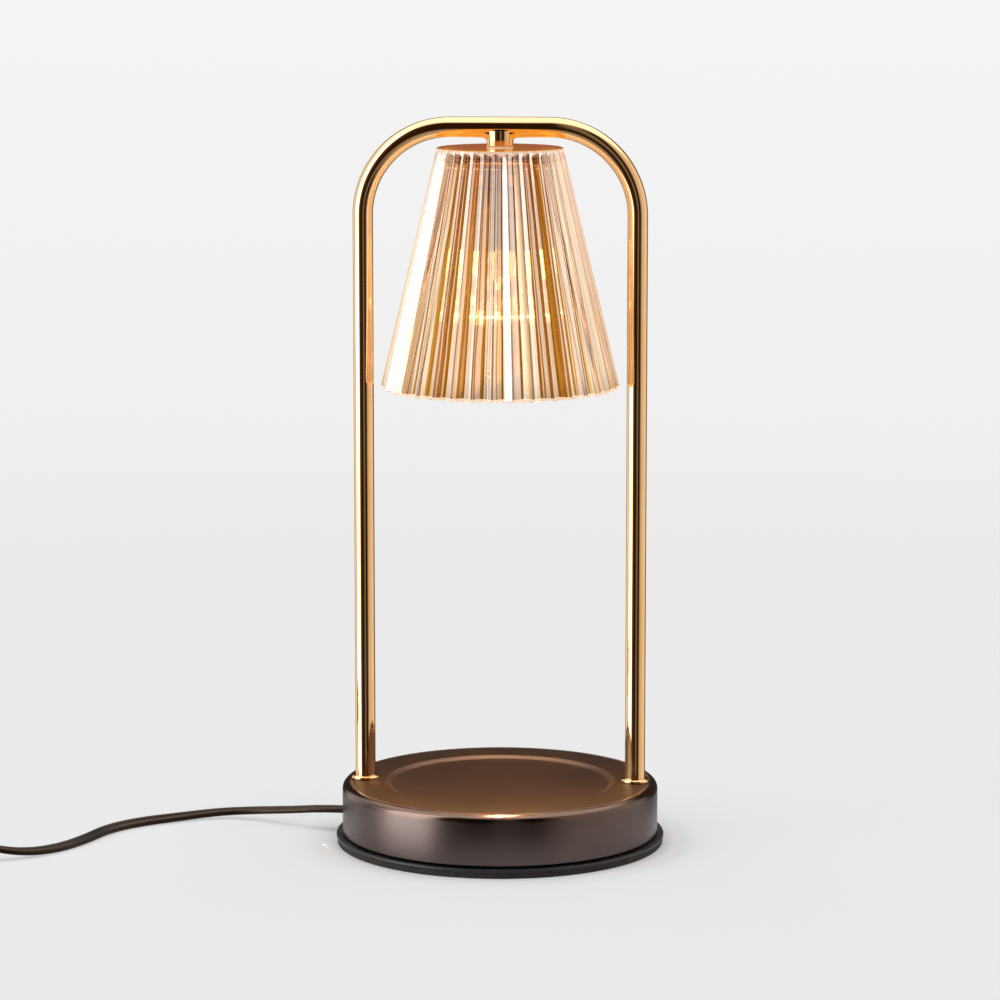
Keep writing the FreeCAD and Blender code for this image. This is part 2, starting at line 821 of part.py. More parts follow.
def make_arch_tube():
    """One bent tube with a turned-down thread at the foot of each leg."""
    body = new_body("arch_tube")
    ring = new_sketch(body, "XY_Plane", "shell_top")
    circle(ring, "tube_diameter", "-leg_x")
    circle(ring, "tube_bore", "-leg_x")
    path = new_sketch(body, "XZ_Plane")
    draw_arch(path)
    bend = body.newObject("PartDesign::AdditivePipe", "bend")
    bend.Profile = ring
    bend.Spine = path
    document.recompute()
    threads = new_sketch(body, "XY_Plane", "shell_top")
    for side in ("-leg_x", "leg_x"):
        circle(threads, "leg_thread_diameter", side)
        circle(threads, "tube_bore", side)
    pad(body, threads, "leg_thread_length", down=True)
    wire_hole = new_sketch(body, "XY_Plane", "bar_z - tube_diameter / 2")
    circle(wire_hole, "tube_bore")
    pocket(body, wire_hole, "tube_diameter / 2", up=True)


def draw_arch(sketch):
    """The open centre line of the arch: leg, bend, bar, bend, leg."""
    leg, top, bend = value("leg_x"), value("bar_z"), value("tube_bend_radius")
    foot = value("shell_top")
    spots = [(-leg, foot), (-leg, top), (leg, top), (leg, foot)]
    points = [FreeCAD.Vector(x, z, 0) for x, z in spots]
    for start, end in zip(points, points[1:]):
        sketch.addGeometry(Part.LineSegment(start, end), False)
    for index in range(2):
        sketch.addConstraint(Sketcher.Constraint("Coincident", index, 2, index + 1, 1))
    texts = [("-leg_x", "shell_top"), ("-leg_x", "bar_z"), ("leg_x", "bar_z"), ("leg_x", "shell_top")]
    ends = [(0, 1), (1, 1), (2, 1), (2, 2)]
    for (line, end), (x, z) in zip(ends, texts):
        limit(sketch, "DistanceX", -1, 1, line, end, text=x)
        limit(sketch, "DistanceY", -1, 1, line, end, text=z)
    for line in (1, 2):
        arc = sketch.GeometryCount
        sketch.fillet(line, 1, bend, True, True)
        limit(sketch, "Radius", arc, text="tube_bend_radius")


def make_leg_fittings():
    for side, x in (("left", "-leg_x"), ("right", "leg_x")):
        turned(
            f"{side}_collar",
            ("tube_diameter / 2", "shell_top"),
            ("collar_diameter / 2", "shell_top"),
            ("collar_diameter / 2", "shell_top + collar_height", "collar_edge_radius"),
            ("tube_diameter / 2", "shell_top + collar_height"),
            x=x,
        )
    washers = []
    nuts = []
    for x in ("-leg_x", "leg_x"):
        low = "shell_underside - washer_thickness"
        disc = cylinder("washer_diameter", low, "shell_underside", x)
        hole = cylinder("leg_thread_diameter", low, "shell_underside", x)
        washers.append(cut(disc, hole))
        nuts.append(hex_nut("leg_thread_diameter", f"{low} - leg_nut_height", low, x))
    node("leg_washers", *washers)
    node("leg_nuts", *nuts)


def hex_nut(thread, low, high, x="0"):
    prism = document.addObject("Part::Prism", "hexagon")
    prism.Polygon = 6
    bind(prism, Circumradius="nut_width / sqrt(3)", Height=f"({high}) - ({low})")
    bind(prism, Placement__Base__x=x, Placement__Base__z=low)
    return cut(prism, cylinder(thread, low, high, x))


# ---------------------------------------------------------------- hanger and shade


def make_stem():
    """A short post brazed under the bar, saddled to it, threaded for the nipple below."""
    body = new_body("stem")
    sketch = new_sketch(body, "XY_Plane", "stem_bottom")
    circle(sketch, "stem_diameter")
    pad(body, sketch, "stem_top - stem_bottom")
    round_edges(body, "stem_edge_radius", circle_edge("stem_diameter", "stem_top"))
    saddle = new_sketch(body, "YZ_Plane", "stem_diameter / 2")
    circle(saddle, "tube_diameter", y="bar_z")
    pocket(body, saddle, "stem_diameter")
    bore = new_sketch(body, "XY_Plane", "stem_bottom")
    circle(bore, "nipple_diameter")
    pocket(body, bore, "nipple_engagement", up=True)
    passage = new_sketch(body, "XY_Plane", "stem_bottom")
    circle(passage, "tube_bore")
    pocket(body, passage, "stem_top - stem_bottom", up=True)


def disc(label, across, hole, low, high):
    """A flat ring between two levels."""
    body = new_body(label)
    sketch = new_sketch(body, "XY_Plane", low)
    circle(sketch, across)
    circle(sketch, hole)
    pad(body, sketch, f"({high}) - ({low})")
    return body


def make_shade():
    body = new_body("shade")
    sketch = new_sketch(body, "XZ_Plane")
    outline(
        sketch,
        ("0", "shade_bottom"),
        ("valley_bottom_radius", "shade_bottom"),
        ("valley_top_radius", "shade_top", "rib_top_drop"),
        ("0", "shade_top"),
    )
    revolve(body, sketch)
    low_end = new_sketch(body, "XY_Plane", "shade_bottom")
    circle(low_end, "2 * rib_bottom_round", "shade_bottom_diameter / 2 - rib_bottom_round")
    high_end = new_sketch(body, "XY_Plane", "rib_top")
    circle(high_end, "2 * rib_top_round", "rib_top_radius - rib_top_round")
    rib = body.newObject("PartDesign::AdditiveLoft", "rib")
    rib.Profile = low_end
    rib.Sections = [high_end]
    rib.Ruled = True
    document.recompute()
    ring_pattern(body, [rib], "rib_count")
    hollow = new_sketch(body, "XZ_Plane")
    outline(
        hollow,
        ("0", "shade_bottom"),
        ("valley_bottom_radius - shade_wall", "shade_bottom"),
        ("ceiling_radius", "shade_ceiling", "shade_wall"),
        ("0", "shade_ceiling"),
    )
    revolve(body, hollow, "PartDesign::Groove")
    hole = new_sketch(body, "XY_Plane", "shade_ceiling")
    circle(hole, "nipple_diameter + screw_clearance")
    pocket(body, hole, "shade_top_thickness", up=True)


def make_hanger():
    hole = "nipple_diameter + screw_clearance"
    disc("shade_gasket_upper", "stem_diameter", hole, "shade_top", "stem_bottom")
    disc("shade_gasket_lower", "lower_gasket_diameter", hole, "retainer_top", "shade_ceiling")
    disc("retaining_washer", "retainer_diameter", hole, "bracket_top", "retainer_top")
    disc("threaded_nipple", "nipple_diameter", "nipple_bore", "nipple_bottom", "nipple_top")
    node("shade_nut", hex_nut("nipple_diameter", "shade_nut_top - shade_nut_height", "shade_nut_top"))


# ---------------------------------------------------------------- lampholder


def make_lampholder_bracket():
    """A strap bent down on both sides of the lampholder, clamped by the shade nut."""
    reach = "holder_diameter / 2"
    half = "bracket_width / 2"
    foot = "bracket_top - bracket_drop"
    left = f"-{reach} - bracket_thickness"
    right = f"{reach} + bracket_thickness"
    top = block(left, right, f"-{half}", half, "shade_nut_top", "bracket_top")
    sides = [
        block(left, f"-{reach}", f"-{half}", half, foot, "shade_nut_top"),
        block(reach, right, f"-{half}", half, foot, "shade_nut_top"),
    ]
    hole = cylinder("nipple_diameter + screw_clearance", "shade_nut_top", "bracket_top")
    thread = "holder_screw_diameter + screw_clearance"
    screws = rod_along_x(thread, left, right, "0", "holder_bottom + holder_screw_rise")
    node("lampholder_bracket", cut(fused(top, *sides), hole, screws))


def slot_sector(body, hole, low, high):
    """Cuts a slot that follows the pin's turn, a little narrower than the hole at its ends."""
    sketch = new_sketch(body, "YZ_Plane")
    half = f"(({hole}) / 2 - slot_relief)"
    rectangle(sketch, f"pin_radius - {half}", f"pin_radius + {half}", low, high)
    return revolve(body, sketch, "PartDesign::Groove", "bulb_twist", clockwise=True)


def pin_hole(body, across, turn, low, high):
    sketch = new_sketch(body, "XY_Plane", low)
    circle(sketch, across, f"pin_radius * sin({turn})", f"pin_radius * cos({turn})")
    return pocket(body, sketch, f"({high}) - ({low})", up=True)


def make_lampholder():
    """A ceramic body with a keyhole for each pin: in at its wide end, then turned to lock."""
    body = new_body("lampholder_body")
    sketch = new_sketch(body, "XY_Plane", "holder_bottom")
    circle(sketch, "holder_diameter")
    pad(body, sketch, "holder_height")
    entry = "pin_head_diameter + 2 * pin_clearance"
    neck = "pin_diameter + 2 * pin_clearance"
    levels = ("holder_bottom", "holder_floor_top")
    chamber = ("holder_floor_top", "holder_ceiling")
    cuts = [
        slot_sector(body, neck, *levels),
        slot_sector(body, entry, *chamber),
        pin_hole(body, neck, "0", *levels),
        pin_hole(body, entry, "bulb_twist", *levels),
        pin_hole(body, entry, "0", *chamber),
        pin_hole(body, entry, "bulb_twist", *chamber),
        pin_hole(body, "contact_stud_diameter", "0", "holder_ceiling", "holder_top"),
    ]
    ring_pattern(body, cuts, "2")
    screws = new_sketch(body, "YZ_Plane", "holder_diameter / 2")
    circle(screws, "holder_screw_diameter", y="holder_bottom + holder_screw_rise")
    threads = pocket(body, screws, "holder_screw_depth")
    ring_pattern(body, [threads], "2")


def make_lampholder_fittings():
    rise = "holder_bottom + holder_screw_rise"
    reach = "holder_diameter / 2"
    outside = "(holder_diameter / 2 + bracket_thickness)"
    head = "holder_screw_diameter * pan_head_ratio"
    right = fused(
        rod_along_x("holder_screw_diameter", f"{reach} - holder_screw_depth", outside, "0", rise),
        rod_along_x(head, outside, f"{outside} + pan_head_thickness", "0", rise),
    )
    left = fused(
        rod_along_x("holder_screw_diameter", f"-{outside}", f"holder_screw_depth - {reach}", "0", rise),
        rod_along_x(head, f"-{outside} - pan_head_thickness", f"-{outside}", "0", rise),
    )
    node("lampholder_screws", left, right)
    contacts = []
    for y in ("-pin_radius", "pin_radius"):
        face = cylinder("pin_head_diameter", "contact_bottom", "contact_top", "0", y)
        stud = cylinder("contact_stud_diameter", "contact_top", "stud_top", "0", y)
        contacts.append(fused(face, stud))
    node("lampholder_contacts", *contacts)


# ---------------------------------------------------------------- bulb


def make_bulb():
    """A reflector bulb: ceramic neck with two headed pins, glass reflector, front glass, capsule."""
    neck = "bulb_neck_diameter / 2"
    waist = f"({neck} - bulb_waist_step)"
    rim = "bulb_diameter / 2"
    shoulder = "rim_top + reflector_shoulder"
    turned(
        "bulb_neck",
        ("0", "capsule_top"),
        (f"{waist} - bulb_glass_wall", "capsule_top"),
        (f"{waist} - bulb_glass_wall", "neck_bottom"),
        (waist, "neck_bottom"),
        (neck, "neck_bottom + 2 * bulb_waist_step", "bulb_waist_step"),
        (neck, "bulb_top", "2 * bulb_waist_step"),
        ("0", "bulb_top"),
    )
    turned(
        "bulb_reflector",
        (f"{waist} - bulb_glass_wall", "neck_bottom"),
        (f"{rim} - 2 * bulb_glass_wall", shoulder, "reflector_round"),
        (f"{rim} - bulb_glass_wall", "bulb_face"),
        (rim, "bulb_face"),
        (rim, "rim_top", "bulb_glass_wall"),
        (f"{rim} - bulb_glass_wall", shoulder, "reflector_round"),
        (waist, "neck_bottom"),
    )
    glass_top = "bulb_face + bulb_glass_inset + bulb_glass_wall"
    turned(
        "bulb_front_glass",
        ("0", "bulb_face + bulb_glass_inset"),
        (f"{rim} - bulb_glass_wall - bulb_glass_inset", "bulb_face + bulb_glass_inset"),
        (f"{rim} - bulb_glass_wall - bulb_glass_inset", glass_top),
        ("0", glass_top),
    )
    pins = []
    for y in ("-pin_radius", "pin_radius"):
        shank = cylinder("pin_diameter", "bulb_top", "pin_head_bottom", "0", y)
        head = cylinder("pin_head_diameter", "pin_head_bottom", "pin_top", "0", y)
        pins.append(fused(shank, head))
    node("bulb_pins", *pins)


def make_capsule():
    outer = "capsule_diameter / 2"
    turned(
        "bulb_capsule",
        ("0", "capsule_bottom"),
        (outer, "capsule_bottom", f"{outer} - capsule_wall / 2"),
        (outer, "capsule_top"),
        ("0", "capsule_top"),
        ("0", "pinch_bottom"),
        (f"{outer} - capsule_wall", "pinch_bottom"),
        (f"{outer} - capsule_wall", "capsule_bottom + capsule_wall", f"{outer} - 1.5 * capsule_wall"),
        ("0", "capsule_bottom + capsule_wall"),
    )
    coil = cylinder("filament_diameter", "filament_bottom", "filament_bottom + filament_length")
    stem = cylinder("filament_stem", "filament_bottom + filament_length", "pinch_bottom")
    node("bulb_filament", fused(coil, stem))


# ---------------------------------------------------------------- wiring


def make_lamp_wires():
    """Two wires from the lampholder through the stem, the bar and the left leg into the base."""
    ends = [
        ("-", "splice_near_x", "splice_z + wire_turn_height"),
        ("", "splice_far_x", "splice_z + 2 * wire_turn_height"),
    ]
    routes = []
    for sign, splice_x, turn_z in ends:
        aside = f"{sign}lamp_wire_spacing / 2"
        routes.append([
            ("0", f"{sign}pin_radius", "stud_top"),
            ("0", f"{sign}pin_radius", "nipple_bottom - wire_rise", TIGHT_BEND),
            ("0", aside, "nipple_bottom - wire_gather", TIGHT_BEND),
            ("0", aside, "bar_z"),
            ("-leg_x", aside, "bar_z", "tube_bend_radius"),
            ("-leg_x", aside, turn_z),
            (splice_x, "-splice_mouth + wire_run_in", "spliced_wire_z"),
            (splice_x, "wire_end_y", "spliced_wire_z"),
        ])
    wires("lamp_wires", "lamp_wire_diameter", WIRE_BEND, *routes)


def make_cord_cores():
    """The cord's two cores inside the base, from its stripped end to the splice caps."""
    inner = "shell_diameter / 2 - cord_inside"
    routes = []
    for sign, splice_x in (("-", "splice_near_x"), ("", "splice_far_x")):
        aside = f"{sign}core_spacing / 2"
        start = cord_point(inner, f"-({aside})")
        straight = cord_point(f"{inner} - core_run_out", f"-({aside})")
        routes.append([
            tuple(start),
            tuple(straight),
            (splice_x, "splice_mouth - core_run_in", "spliced_core_z"),
            (splice_x, "wire_end_y", "spliced_core_z"),
        ])
    wires("cord_cores", "core_diameter", TIGHT_BEND, *routes)


def make_splice_caps():
    caps = []
    for x in ("splice_near_x", "splice_far_x"):
        cap = rod_along_y("splice_diameter", "splice_end", "-splice_mouth", x, "splice_z")
        bore = rod_along_y("splice_bore", "splice_end + splice_end_wall", "-splice_mouth", x, "splice_z")
        caps.append(cut(cap, bore))
    node("splice_caps", *caps)


# ---------------------------------------------------------------- cord


def make_cords():
    tip = value("dimmer_length / 2 + relief_length")
    axis = FreeCAD.Vector(value("dimmer_x"), value("dimmer_y"), value("dimmer_axis"))
    side = FreeCAD.Vector(tip, 0, 0)
    inner = cord_point("shell_diameter / 2 - cord_inside")
    outer = cord_point("shell_diameter / 2 + cord_straight")
    plug = (value("plug_tip_x"), value("plug_y"), value("plug_z"))
    cord("cord_lead", [inner, outer, *LEAD_ROUTE, axis + side])
    cord("cord_tail", [axis - side, *TAIL_ROUTE])
    cord("cord_end", [*END_ROUTE, plug])


def make_coil():
    """The wound cord as one closed ring, pinched where the tie goes round it."""
    front = "coil_center_y - (coil_diameter + coil_width) / 2 - tie_proud"
    back = "coil_center_y - (coil_diameter - coil_width) / 2 + tie_proud"
    left = "coil_center_x - tie_width / 2"
    right = "coil_center_x + tie_width / 2"
    outer = block(left, right, front, back, "0", "coil_height")
    hole = block(
        left,
        right,
        f"{front} + tie_thickness",
        f"{back} - tie_thickness",
        "tie_thickness",
        "coil_height - tie_thickness",
    )
    tie = node("coil_tie", cut(outer, hole))
    place = ("coil_center_x", "coil_center_y")
    round_outside = cylinder("coil_diameter + coil_width", "0", "coil_height", *place)
    round_inside = cylinder("coil_diameter - coil_width", "0", "coil_height", *place)
    node("cord_coil", cut(round_outside, round_inside, tie))


# ---------------------------------------------------------------- dimmer


def on_dimmer(body):
    """Puts a piece drawn about the dimmer's middle in its place on the cord."""
    bind(body, Placement__Base__x="dimmer_x", Placement__Base__y="dimmer_y")
    return body


def half_box(body, low, high, floor, ceiling, face):
    """One half of the dimmer's case: a rounded tray hollowed between floor and ceiling."""
    length, width = "dimmer_length / 2", "dimmer_width / 2"
    sketch = new_sketch(body, "XY_Plane", low)
    rectangle(sketch, f"-{length}", length, f"-{width}", width, "dimmer_corner_radius")
    pad(body, sketch, f"({high}) - ({low})")
    level = value(face)
    round_edges(
        body,
        "dimmer_edge_radius",
        lambda edge: abs(edge.BoundBox.ZMin - level) < 1e-4 and abs(edge.BoundBox.ZMax - level) < 1e-4,
    )
    hollow = new_sketch(body, "XY_Plane", floor)
    inner_length, inner_width = f"({length} - dimmer_wall)", f"({width} - dimmer_wall)"
    corner = "dimmer_corner_radius - dimmer_wall"
    rectangle(hollow, f"-{inner_length}", inner_length, f"-{inner_width}", inner_width, corner)
    pocket(body, hollow, f"({ceiling}) - ({floor})", up=True)


def case_openings(body, low, high):
    """The half holes for the strain reliefs at both ends, and half the wheel's slot."""
    ends = new_sketch(body, "YZ_Plane", "dimmer_length / 2")
    circle(ends, "relief_tip_diameter", y="dimmer_axis")
    pocket(body, ends, "dimmer_length")
    slot = new_sketch(body, "XZ_Plane", "dimmer_width / 2")
    rectangle(slot, "-wheel_slot_half", "wheel_slot_half", low, high)
    pocket(body, slot, "2 * dimmer_wall")


def dimmer_screw_places():
    return [("dimmer_screw_x", "dimmer_screw_y"), ("-dimmer_screw_x", "-dimmer_screw_y")]


def circles(sketch, across, places):
    for x, y in places:
        circle(sketch, across, x, y)


def make_dimmer_bottom_shell():
    body = on_dimmer(new_body("dimmer_bottom_shell"))
    half_box(body, "0", "dimmer_axis", "dimmer_wall", "dimmer_axis", "0")
    case_openings(body, "wheel_bottom - wheel_clearance", "dimmer_axis")
    bosses = new_sketch(body, "XY_Plane", "dimmer_wall")
    circles(bosses, "dimmer_boss_diameter", dimmer_screw_places())
    pad(body, bosses, "board_rise")
    holes = new_sketch(body, "XY_Plane")
    circles(holes, "dimmer_screw_diameter + screw_clearance", dimmer_screw_places())
    pocket(body, holes, "board_bottom", up=True)
    heads = new_sketch(body, "XY_Plane")
    circles(heads, "dimmer_screw_head + screw_clearance", dimmer_screw_places())
    pocket(body, heads, "dimmer_screw_head_thickness", up=True)


def make_dimmer_top_shell():
    body = on_dimmer(new_body("dimmer_top_shell"))
    half_box(body, "dimmer_axis", "dimmer_height", "dimmer_axis", "dimmer_ceiling", "dimmer_height")
    case_openings(body, "dimmer_axis", "wheel_top + wheel_clearance")
    bosses = new_sketch(body, "XY_Plane", "board_top")
    circles(bosses, "dimmer_boss_diameter", dimmer_screw_places())
    pad(body, bosses, "dimmer_ceiling - board_top")
    bearing = new_sketch(body, "XY_Plane", "wheel_top + wheel_clearance")
    circle(bearing, "spindle_boss_diameter", y="wheel_y")
    pad(body, bearing, "dimmer_ceiling - wheel_top - wheel_clearance")
    threads = new_sketch(body, "XY_Plane", "board_top")
    circles(threads, "dimmer_screw_diameter", dimmer_screw_places())
    pocket(body, threads, "dimmer_screw_length - board_top + dimmer_screw_head_thickness", up=True)
    bore = new_sketch(body, "XY_Plane", "wheel_top")
    circle(bore, "spindle_diameter + wheel_clearance", y="wheel_y")
    pocket(body, bore, "dimmer_ceiling - wheel_top", up=True)


def make_dimmer_wheel():
    """A notched thumb wheel and its spindle, drawn about the wheel's own axis."""
    body = new_body("dimmer_wheel")
    sketch = new_sketch(body, "XY_Plane", "wheel_bottom")
    circle(sketch, "wheel_diameter")
    pad(body, sketch, "wheel_thickness")
    notch = new_sketch(body, "XY_Plane", "wheel_bottom")
    circle(notch, "wheel_notch_diameter", "wheel_diameter / 2")
    notches = pocket(body, notch, "wheel_thickness", up=True)
    ring_pattern(body, [notches], "wheel_notch_count")
    spindle = new_sketch(body, "XY_Plane", "spindle_bottom")
    circle(spindle, "spindle_diameter")
    pad(body, spindle, "spindle_length")
    bind(body, Placement__Base__x="dimmer_x", Placement__Base__y="dimmer_y + wheel_y")


def make_dimmer_inside():
    board = on_dimmer(new_body("dimmer_board"))
    half_length, half_width = "board_length / 2", "board_width / 2"
    sketch = new_sketch(board, "XY_Plane", "board_bottom")
    rectangle(sketch, f"-{half_length}", half_length, f"-{half_width}", half_width)
    circles(sketch, "dimmer_screw_diameter + screw_clearance", dimmer_screw_places())
    pad(board, sketch, "board_thickness")
    pot = on_dimmer(new_body("dimmer_potentiometer"))
    sketch = new_sketch(pot, "XY_Plane", "board_top")
    half = "pot_size / 2"
    rectangle(sketch, f"-{half}", half, f"wheel_y - {half}", f"wheel_y + {half}")
    circle(sketch, "spindle_diameter + wheel_clearance", y="wheel_y")
    pad(pot, sketch, "pot_height")
    component("dimmer_triac", "triac_x", "0", "triac_width", "triac_length", "triac_height")
    size = ("capacitor_length", "capacitor_width", "capacitor_height")
    component("dimmer_capacitor", "capacitor_x", "capacitor_y", *size)


def component(label, x, y, length, width, height):
    """A plain encapsulated part soldered on the board."""
    body = on_dimmer(new_body(label))
    sketch = new_sketch(body, "XY_Plane", "board_top")
    sides = (f"{x} - {length} / 2", f"{x} + {length} / 2")
    rectangle(sketch, *sides, f"{y} - {width} / 2", f"{y} + {width} / 2")
    pad(body, sketch, height)


def make_dimmer_fasteners():
    screws = []
    for x, y in dimmer_screw_places():
        x, y = f"dimmer_x + {x}", f"dimmer_y + {y}"
        seat = "dimmer_screw_head_thickness"
        head = cylinder("dimmer_screw_head", "dimmer_screw_sink", seat, x, y)
        shank = cylinder("dimmer_screw_diameter", seat, f"{seat} + dimmer_screw_length", x, y)
        screws.append(fused(head, shank))
    node("dimmer_screws", *screws)
    reliefs = []
    for sign in ("-", "+"):
        wall = f"dimmer_x {sign} dimmer_length / 2"
        inside = f"dimmer_x {sign} (dimmer_length / 2 - dimmer_wall)"
        flange = f"dimmer_x {sign} (dimmer_length / 2 - dimmer_wall - relief_flange_thickness)"
        tip = f"dimmer_x {sign} (dimmer_length / 2 + relief_length)"
        neck = sorted((wall, inside), key=value)
        ring = sorted((inside, flange), key=value)
        place = ("dimmer_y", "dimmer_axis")
        reliefs.append(
            fused(
                taper_along_x("relief_diameter", "relief_tip_diameter", wall, tip, *place),
                rod_along_x("relief_tip_diameter", *neck, *place),
                rod_along_x("relief_flange", *ring, *place),
            )
        )
    node("dimmer_strain_reliefs", *reliefs)


def make_dimmer_wires():
    """The cores from both cord ends down to the board."""
    routes = []
    for end in ("-", "+"):
        start = f"dimmer_x {end} (dimmer_length / 2 - dimmer_wall - relief_flange_thickness)"
        drop = f"dimmer_x {end} board_wire_x"
        for side in ("-", "+"):
            y = f"dimmer_y {side} core_spacing / 2"
            routes.append([(start, y, "dimmer_axis"), (drop, y, "dimmer_axis"), (drop, y, "board_top")])
    wires("dimmer_wires", "core_diameter", TIGHT_BEND, *routes)


# ---------------------------------------------------------------- plug


def make_plug():
    body = new_body("plug_body")
    half_width, half_height = "plug_body_width / 2", "plug_body_height / 2"
    sketch = new_sketch(body, "YZ_Plane", "plug_back")
    sides = (f"plug_y - {half_width}", f"plug_y + {half_width}")
    rectangle(sketch, *sides, f"plug_z - {half_height}", f"plug_z + {half_height}", "plug_corner_radius")
    pad(body, sketch, "plug_body_length")
    roots = new_sketch(body, "YZ_Plane", "plug_face")
    blades = []
    for sign, width in (("-", "wide_blade_width"), ("+", "narrow_blade_width")):
        middle = f"plug_y {sign} blade_spacing / 2"
        section = (
            f"{middle} - blade_thickness / 2",
            f"{middle} + blade_thickness / 2",
            f"plug_z - {width} / 2",
            f"plug_z + {width} / 2",
        )
        rectangle(roots, *section)
        blade = block("plug_face - blade_rooting", "plug_face + blade_length", *section)
        hole_x = "plug_face + blade_length - blade_hole_inset"
        hole = rod_along_y("blade_hole_diameter", section[0], section[1], hole_x, "plug_z")
        blades.append(cut(blade, hole))
    pocket(body, roots, "blade_rooting")
    node("plug_blades", *blades)
    tip = ("plug_relief_diameter", "relief_tip_diameter", "plug_back", "plug_tip_x")
    node("plug_strain_relief", taper_along_x(*tip, "plug_y", "plug_z"))


# ---------------------------------------------------------------- check and export


def check_and_export():
    """Stops on any failed object, then writes each sub-part to its own STEP file."""
    document.recompute()
    failed = [o.Label for o in document.Objects if "Invalid" in o.State or "Error" in o.State]
    if failed:
        raise RuntimeError(f"objects failed: {failed}")
    os.makedirs("parts", exist_ok=True)
    for part in parts:
        shape = part.Shape
        if shape.isNull() or not shape.isValid() or not shape.Solids:
            raise RuntimeError(f"{part.Label} has no valid solid")
        shape.exportStep(f"parts/{part.Label}.step")
    print(f"{len(parts)} sub-parts written")


def main():
    make_anti_slip_pad()
    make_base_plate()
    make_base_shell()
    make_base_posts()
    make_base_screws()
    make_ballast()
    make_cord_grommet()
    make_arch_tube()
    make_leg_fittings()
    make_stem()
    make_shade()
    make_hanger()
    make_lampholder_bracket()
    make_lampholder()
    make_lampholder_fittings()
    make_bulb()
    make_capsule()
    make_lamp_wires()
    make_cord_cores()
    make_splice_caps()
    make_cords()
    make_coil()
    make_dimmer_bottom_shell()
    make_dimmer_top_shell()
    make_dimmer_wheel()
    make_dimmer_inside()
    make_dimmer_fasteners()
    make_dimmer_wires()
    make_plug()
    check_and_export()


main()
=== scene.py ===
import math

import bmesh
import bpy
from mathutils import Matrix, Vector


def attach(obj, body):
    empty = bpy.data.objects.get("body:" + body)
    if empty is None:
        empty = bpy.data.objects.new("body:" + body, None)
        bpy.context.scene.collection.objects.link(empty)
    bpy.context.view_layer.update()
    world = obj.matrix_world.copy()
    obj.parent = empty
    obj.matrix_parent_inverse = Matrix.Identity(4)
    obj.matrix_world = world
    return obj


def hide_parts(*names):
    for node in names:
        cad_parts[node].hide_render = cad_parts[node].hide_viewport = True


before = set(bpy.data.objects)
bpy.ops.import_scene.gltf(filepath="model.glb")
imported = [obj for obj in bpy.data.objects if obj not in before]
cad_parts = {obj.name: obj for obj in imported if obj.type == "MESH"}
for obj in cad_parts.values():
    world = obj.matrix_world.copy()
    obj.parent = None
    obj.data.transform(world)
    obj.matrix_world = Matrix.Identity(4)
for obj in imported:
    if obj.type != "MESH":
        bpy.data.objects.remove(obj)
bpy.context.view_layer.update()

MM = 0.001
SMOOTH_ANGLE = math.radians(32)
MERGE_DISTANCE = 1e-7

# Sizes shared with the solids, in millimetres.
SHELL_RADIUS = 71.2
SHELL_FOOT = 4.8
SHELL_TOP = 27.4
SHELL_EDGE = 3.2
SHELL_WALL = 1.5
RECESS_FLOOR = 26.2
RECESS_RIM = 51.75
RECESS_EDGE = 49.25
PLATE_RADIUS = 74.0
PLATE_TOP = 4.0
PAD_TOP = 2.6
LEG_X = 61.0
BAR_Z = 322.0
TUBE_RADIUS = 4.5
TUBE_BEND = 39.0
COLLAR_RADIUS = 6.3
COLLAR_HEIGHT = 1.8
STEM_RADIUS = 5.9
STEM_FOOT = 313.6
STEM_SINK = 1.5
SHADE_TOP = 313.0
SHADE_HEIGHT = 107.0
SHADE_BOTTOM = SHADE_TOP - SHADE_HEIGHT
SHADE_CEILING = 308.0
VALLEY_TOP = 26.0
VALLEY_BOTTOM = 51.4
SHADE_SLOPE = (VALLEY_BOTTOM - VALLEY_TOP) / SHADE_HEIGHT
SHADE_WALL = 3.0
RIB_COUNT = 36
RIB_DEPTH = 2.0
RIB_TOP_DROP = 0.9
RIB_CREST_SHARE = 0.17
RIB_FLANK_ANGLE = math.radians(39)
RIB_END_ROUNDING = 2.0
RIM_SCALLOP = 1.0
NIPPLE_HOLE = 4.2
BULB_FACE = 236.5
BULB_TOP = 283.5
BULB_NECK_BOTTOM = 268.0
BULB_NECK_CEILING = 279.9
CORD_HALF = 1.3
CORD_PITCH = 2.6


# ---- node maths


class Wire:
    """A node socket that takes part in arithmetic."""

    def __init__(self, graph, socket):
        self.graph = graph
        self.socket = socket

    def maths(self, operation, *terms):
        settings, sockets = {"operation": operation}, dict(enumerate(terms))
        return self.graph.node("ShaderNodeMath", settings, sockets)

    def __add__(self, other):
        return self.maths("ADD", self, other)

    __radd__ = __add__

    def __sub__(self, other):
        return self.maths("SUBTRACT", self, other)

    def __rsub__(self, other):
        return self.maths("SUBTRACT", other, self)

    def __mul__(self, other):
        return self.maths("MULTIPLY", self, other)

    __rmul__ = __mul__

    def __truediv__(self, other):
        return self.maths("DIVIDE", self, other)

    def __rtruediv__(self, other):
        return self.maths("DIVIDE", other, self)

    def __pow__(self, other):
        return self.maths("POWER", self, other)

    def __lt__(self, other):
        return self.maths("LESS_THAN", self, other)

    def __gt__(self, other):
        return self.maths("GREATER_THAN", self, other)

    def least(self, other):
        return self.maths("MINIMUM", self, other)

    def most(self, other):
        return self.maths("MAXIMUM", self, other)

    def clamped(self):
        return self.most(0.0).least(1.0)

    def sqrt(self):
        return self.maths("SQRT", self)

    def fraction(self):
        return self.maths("FRACT", self)

    def size(self):
        return self.maths("ABSOLUTE", self)


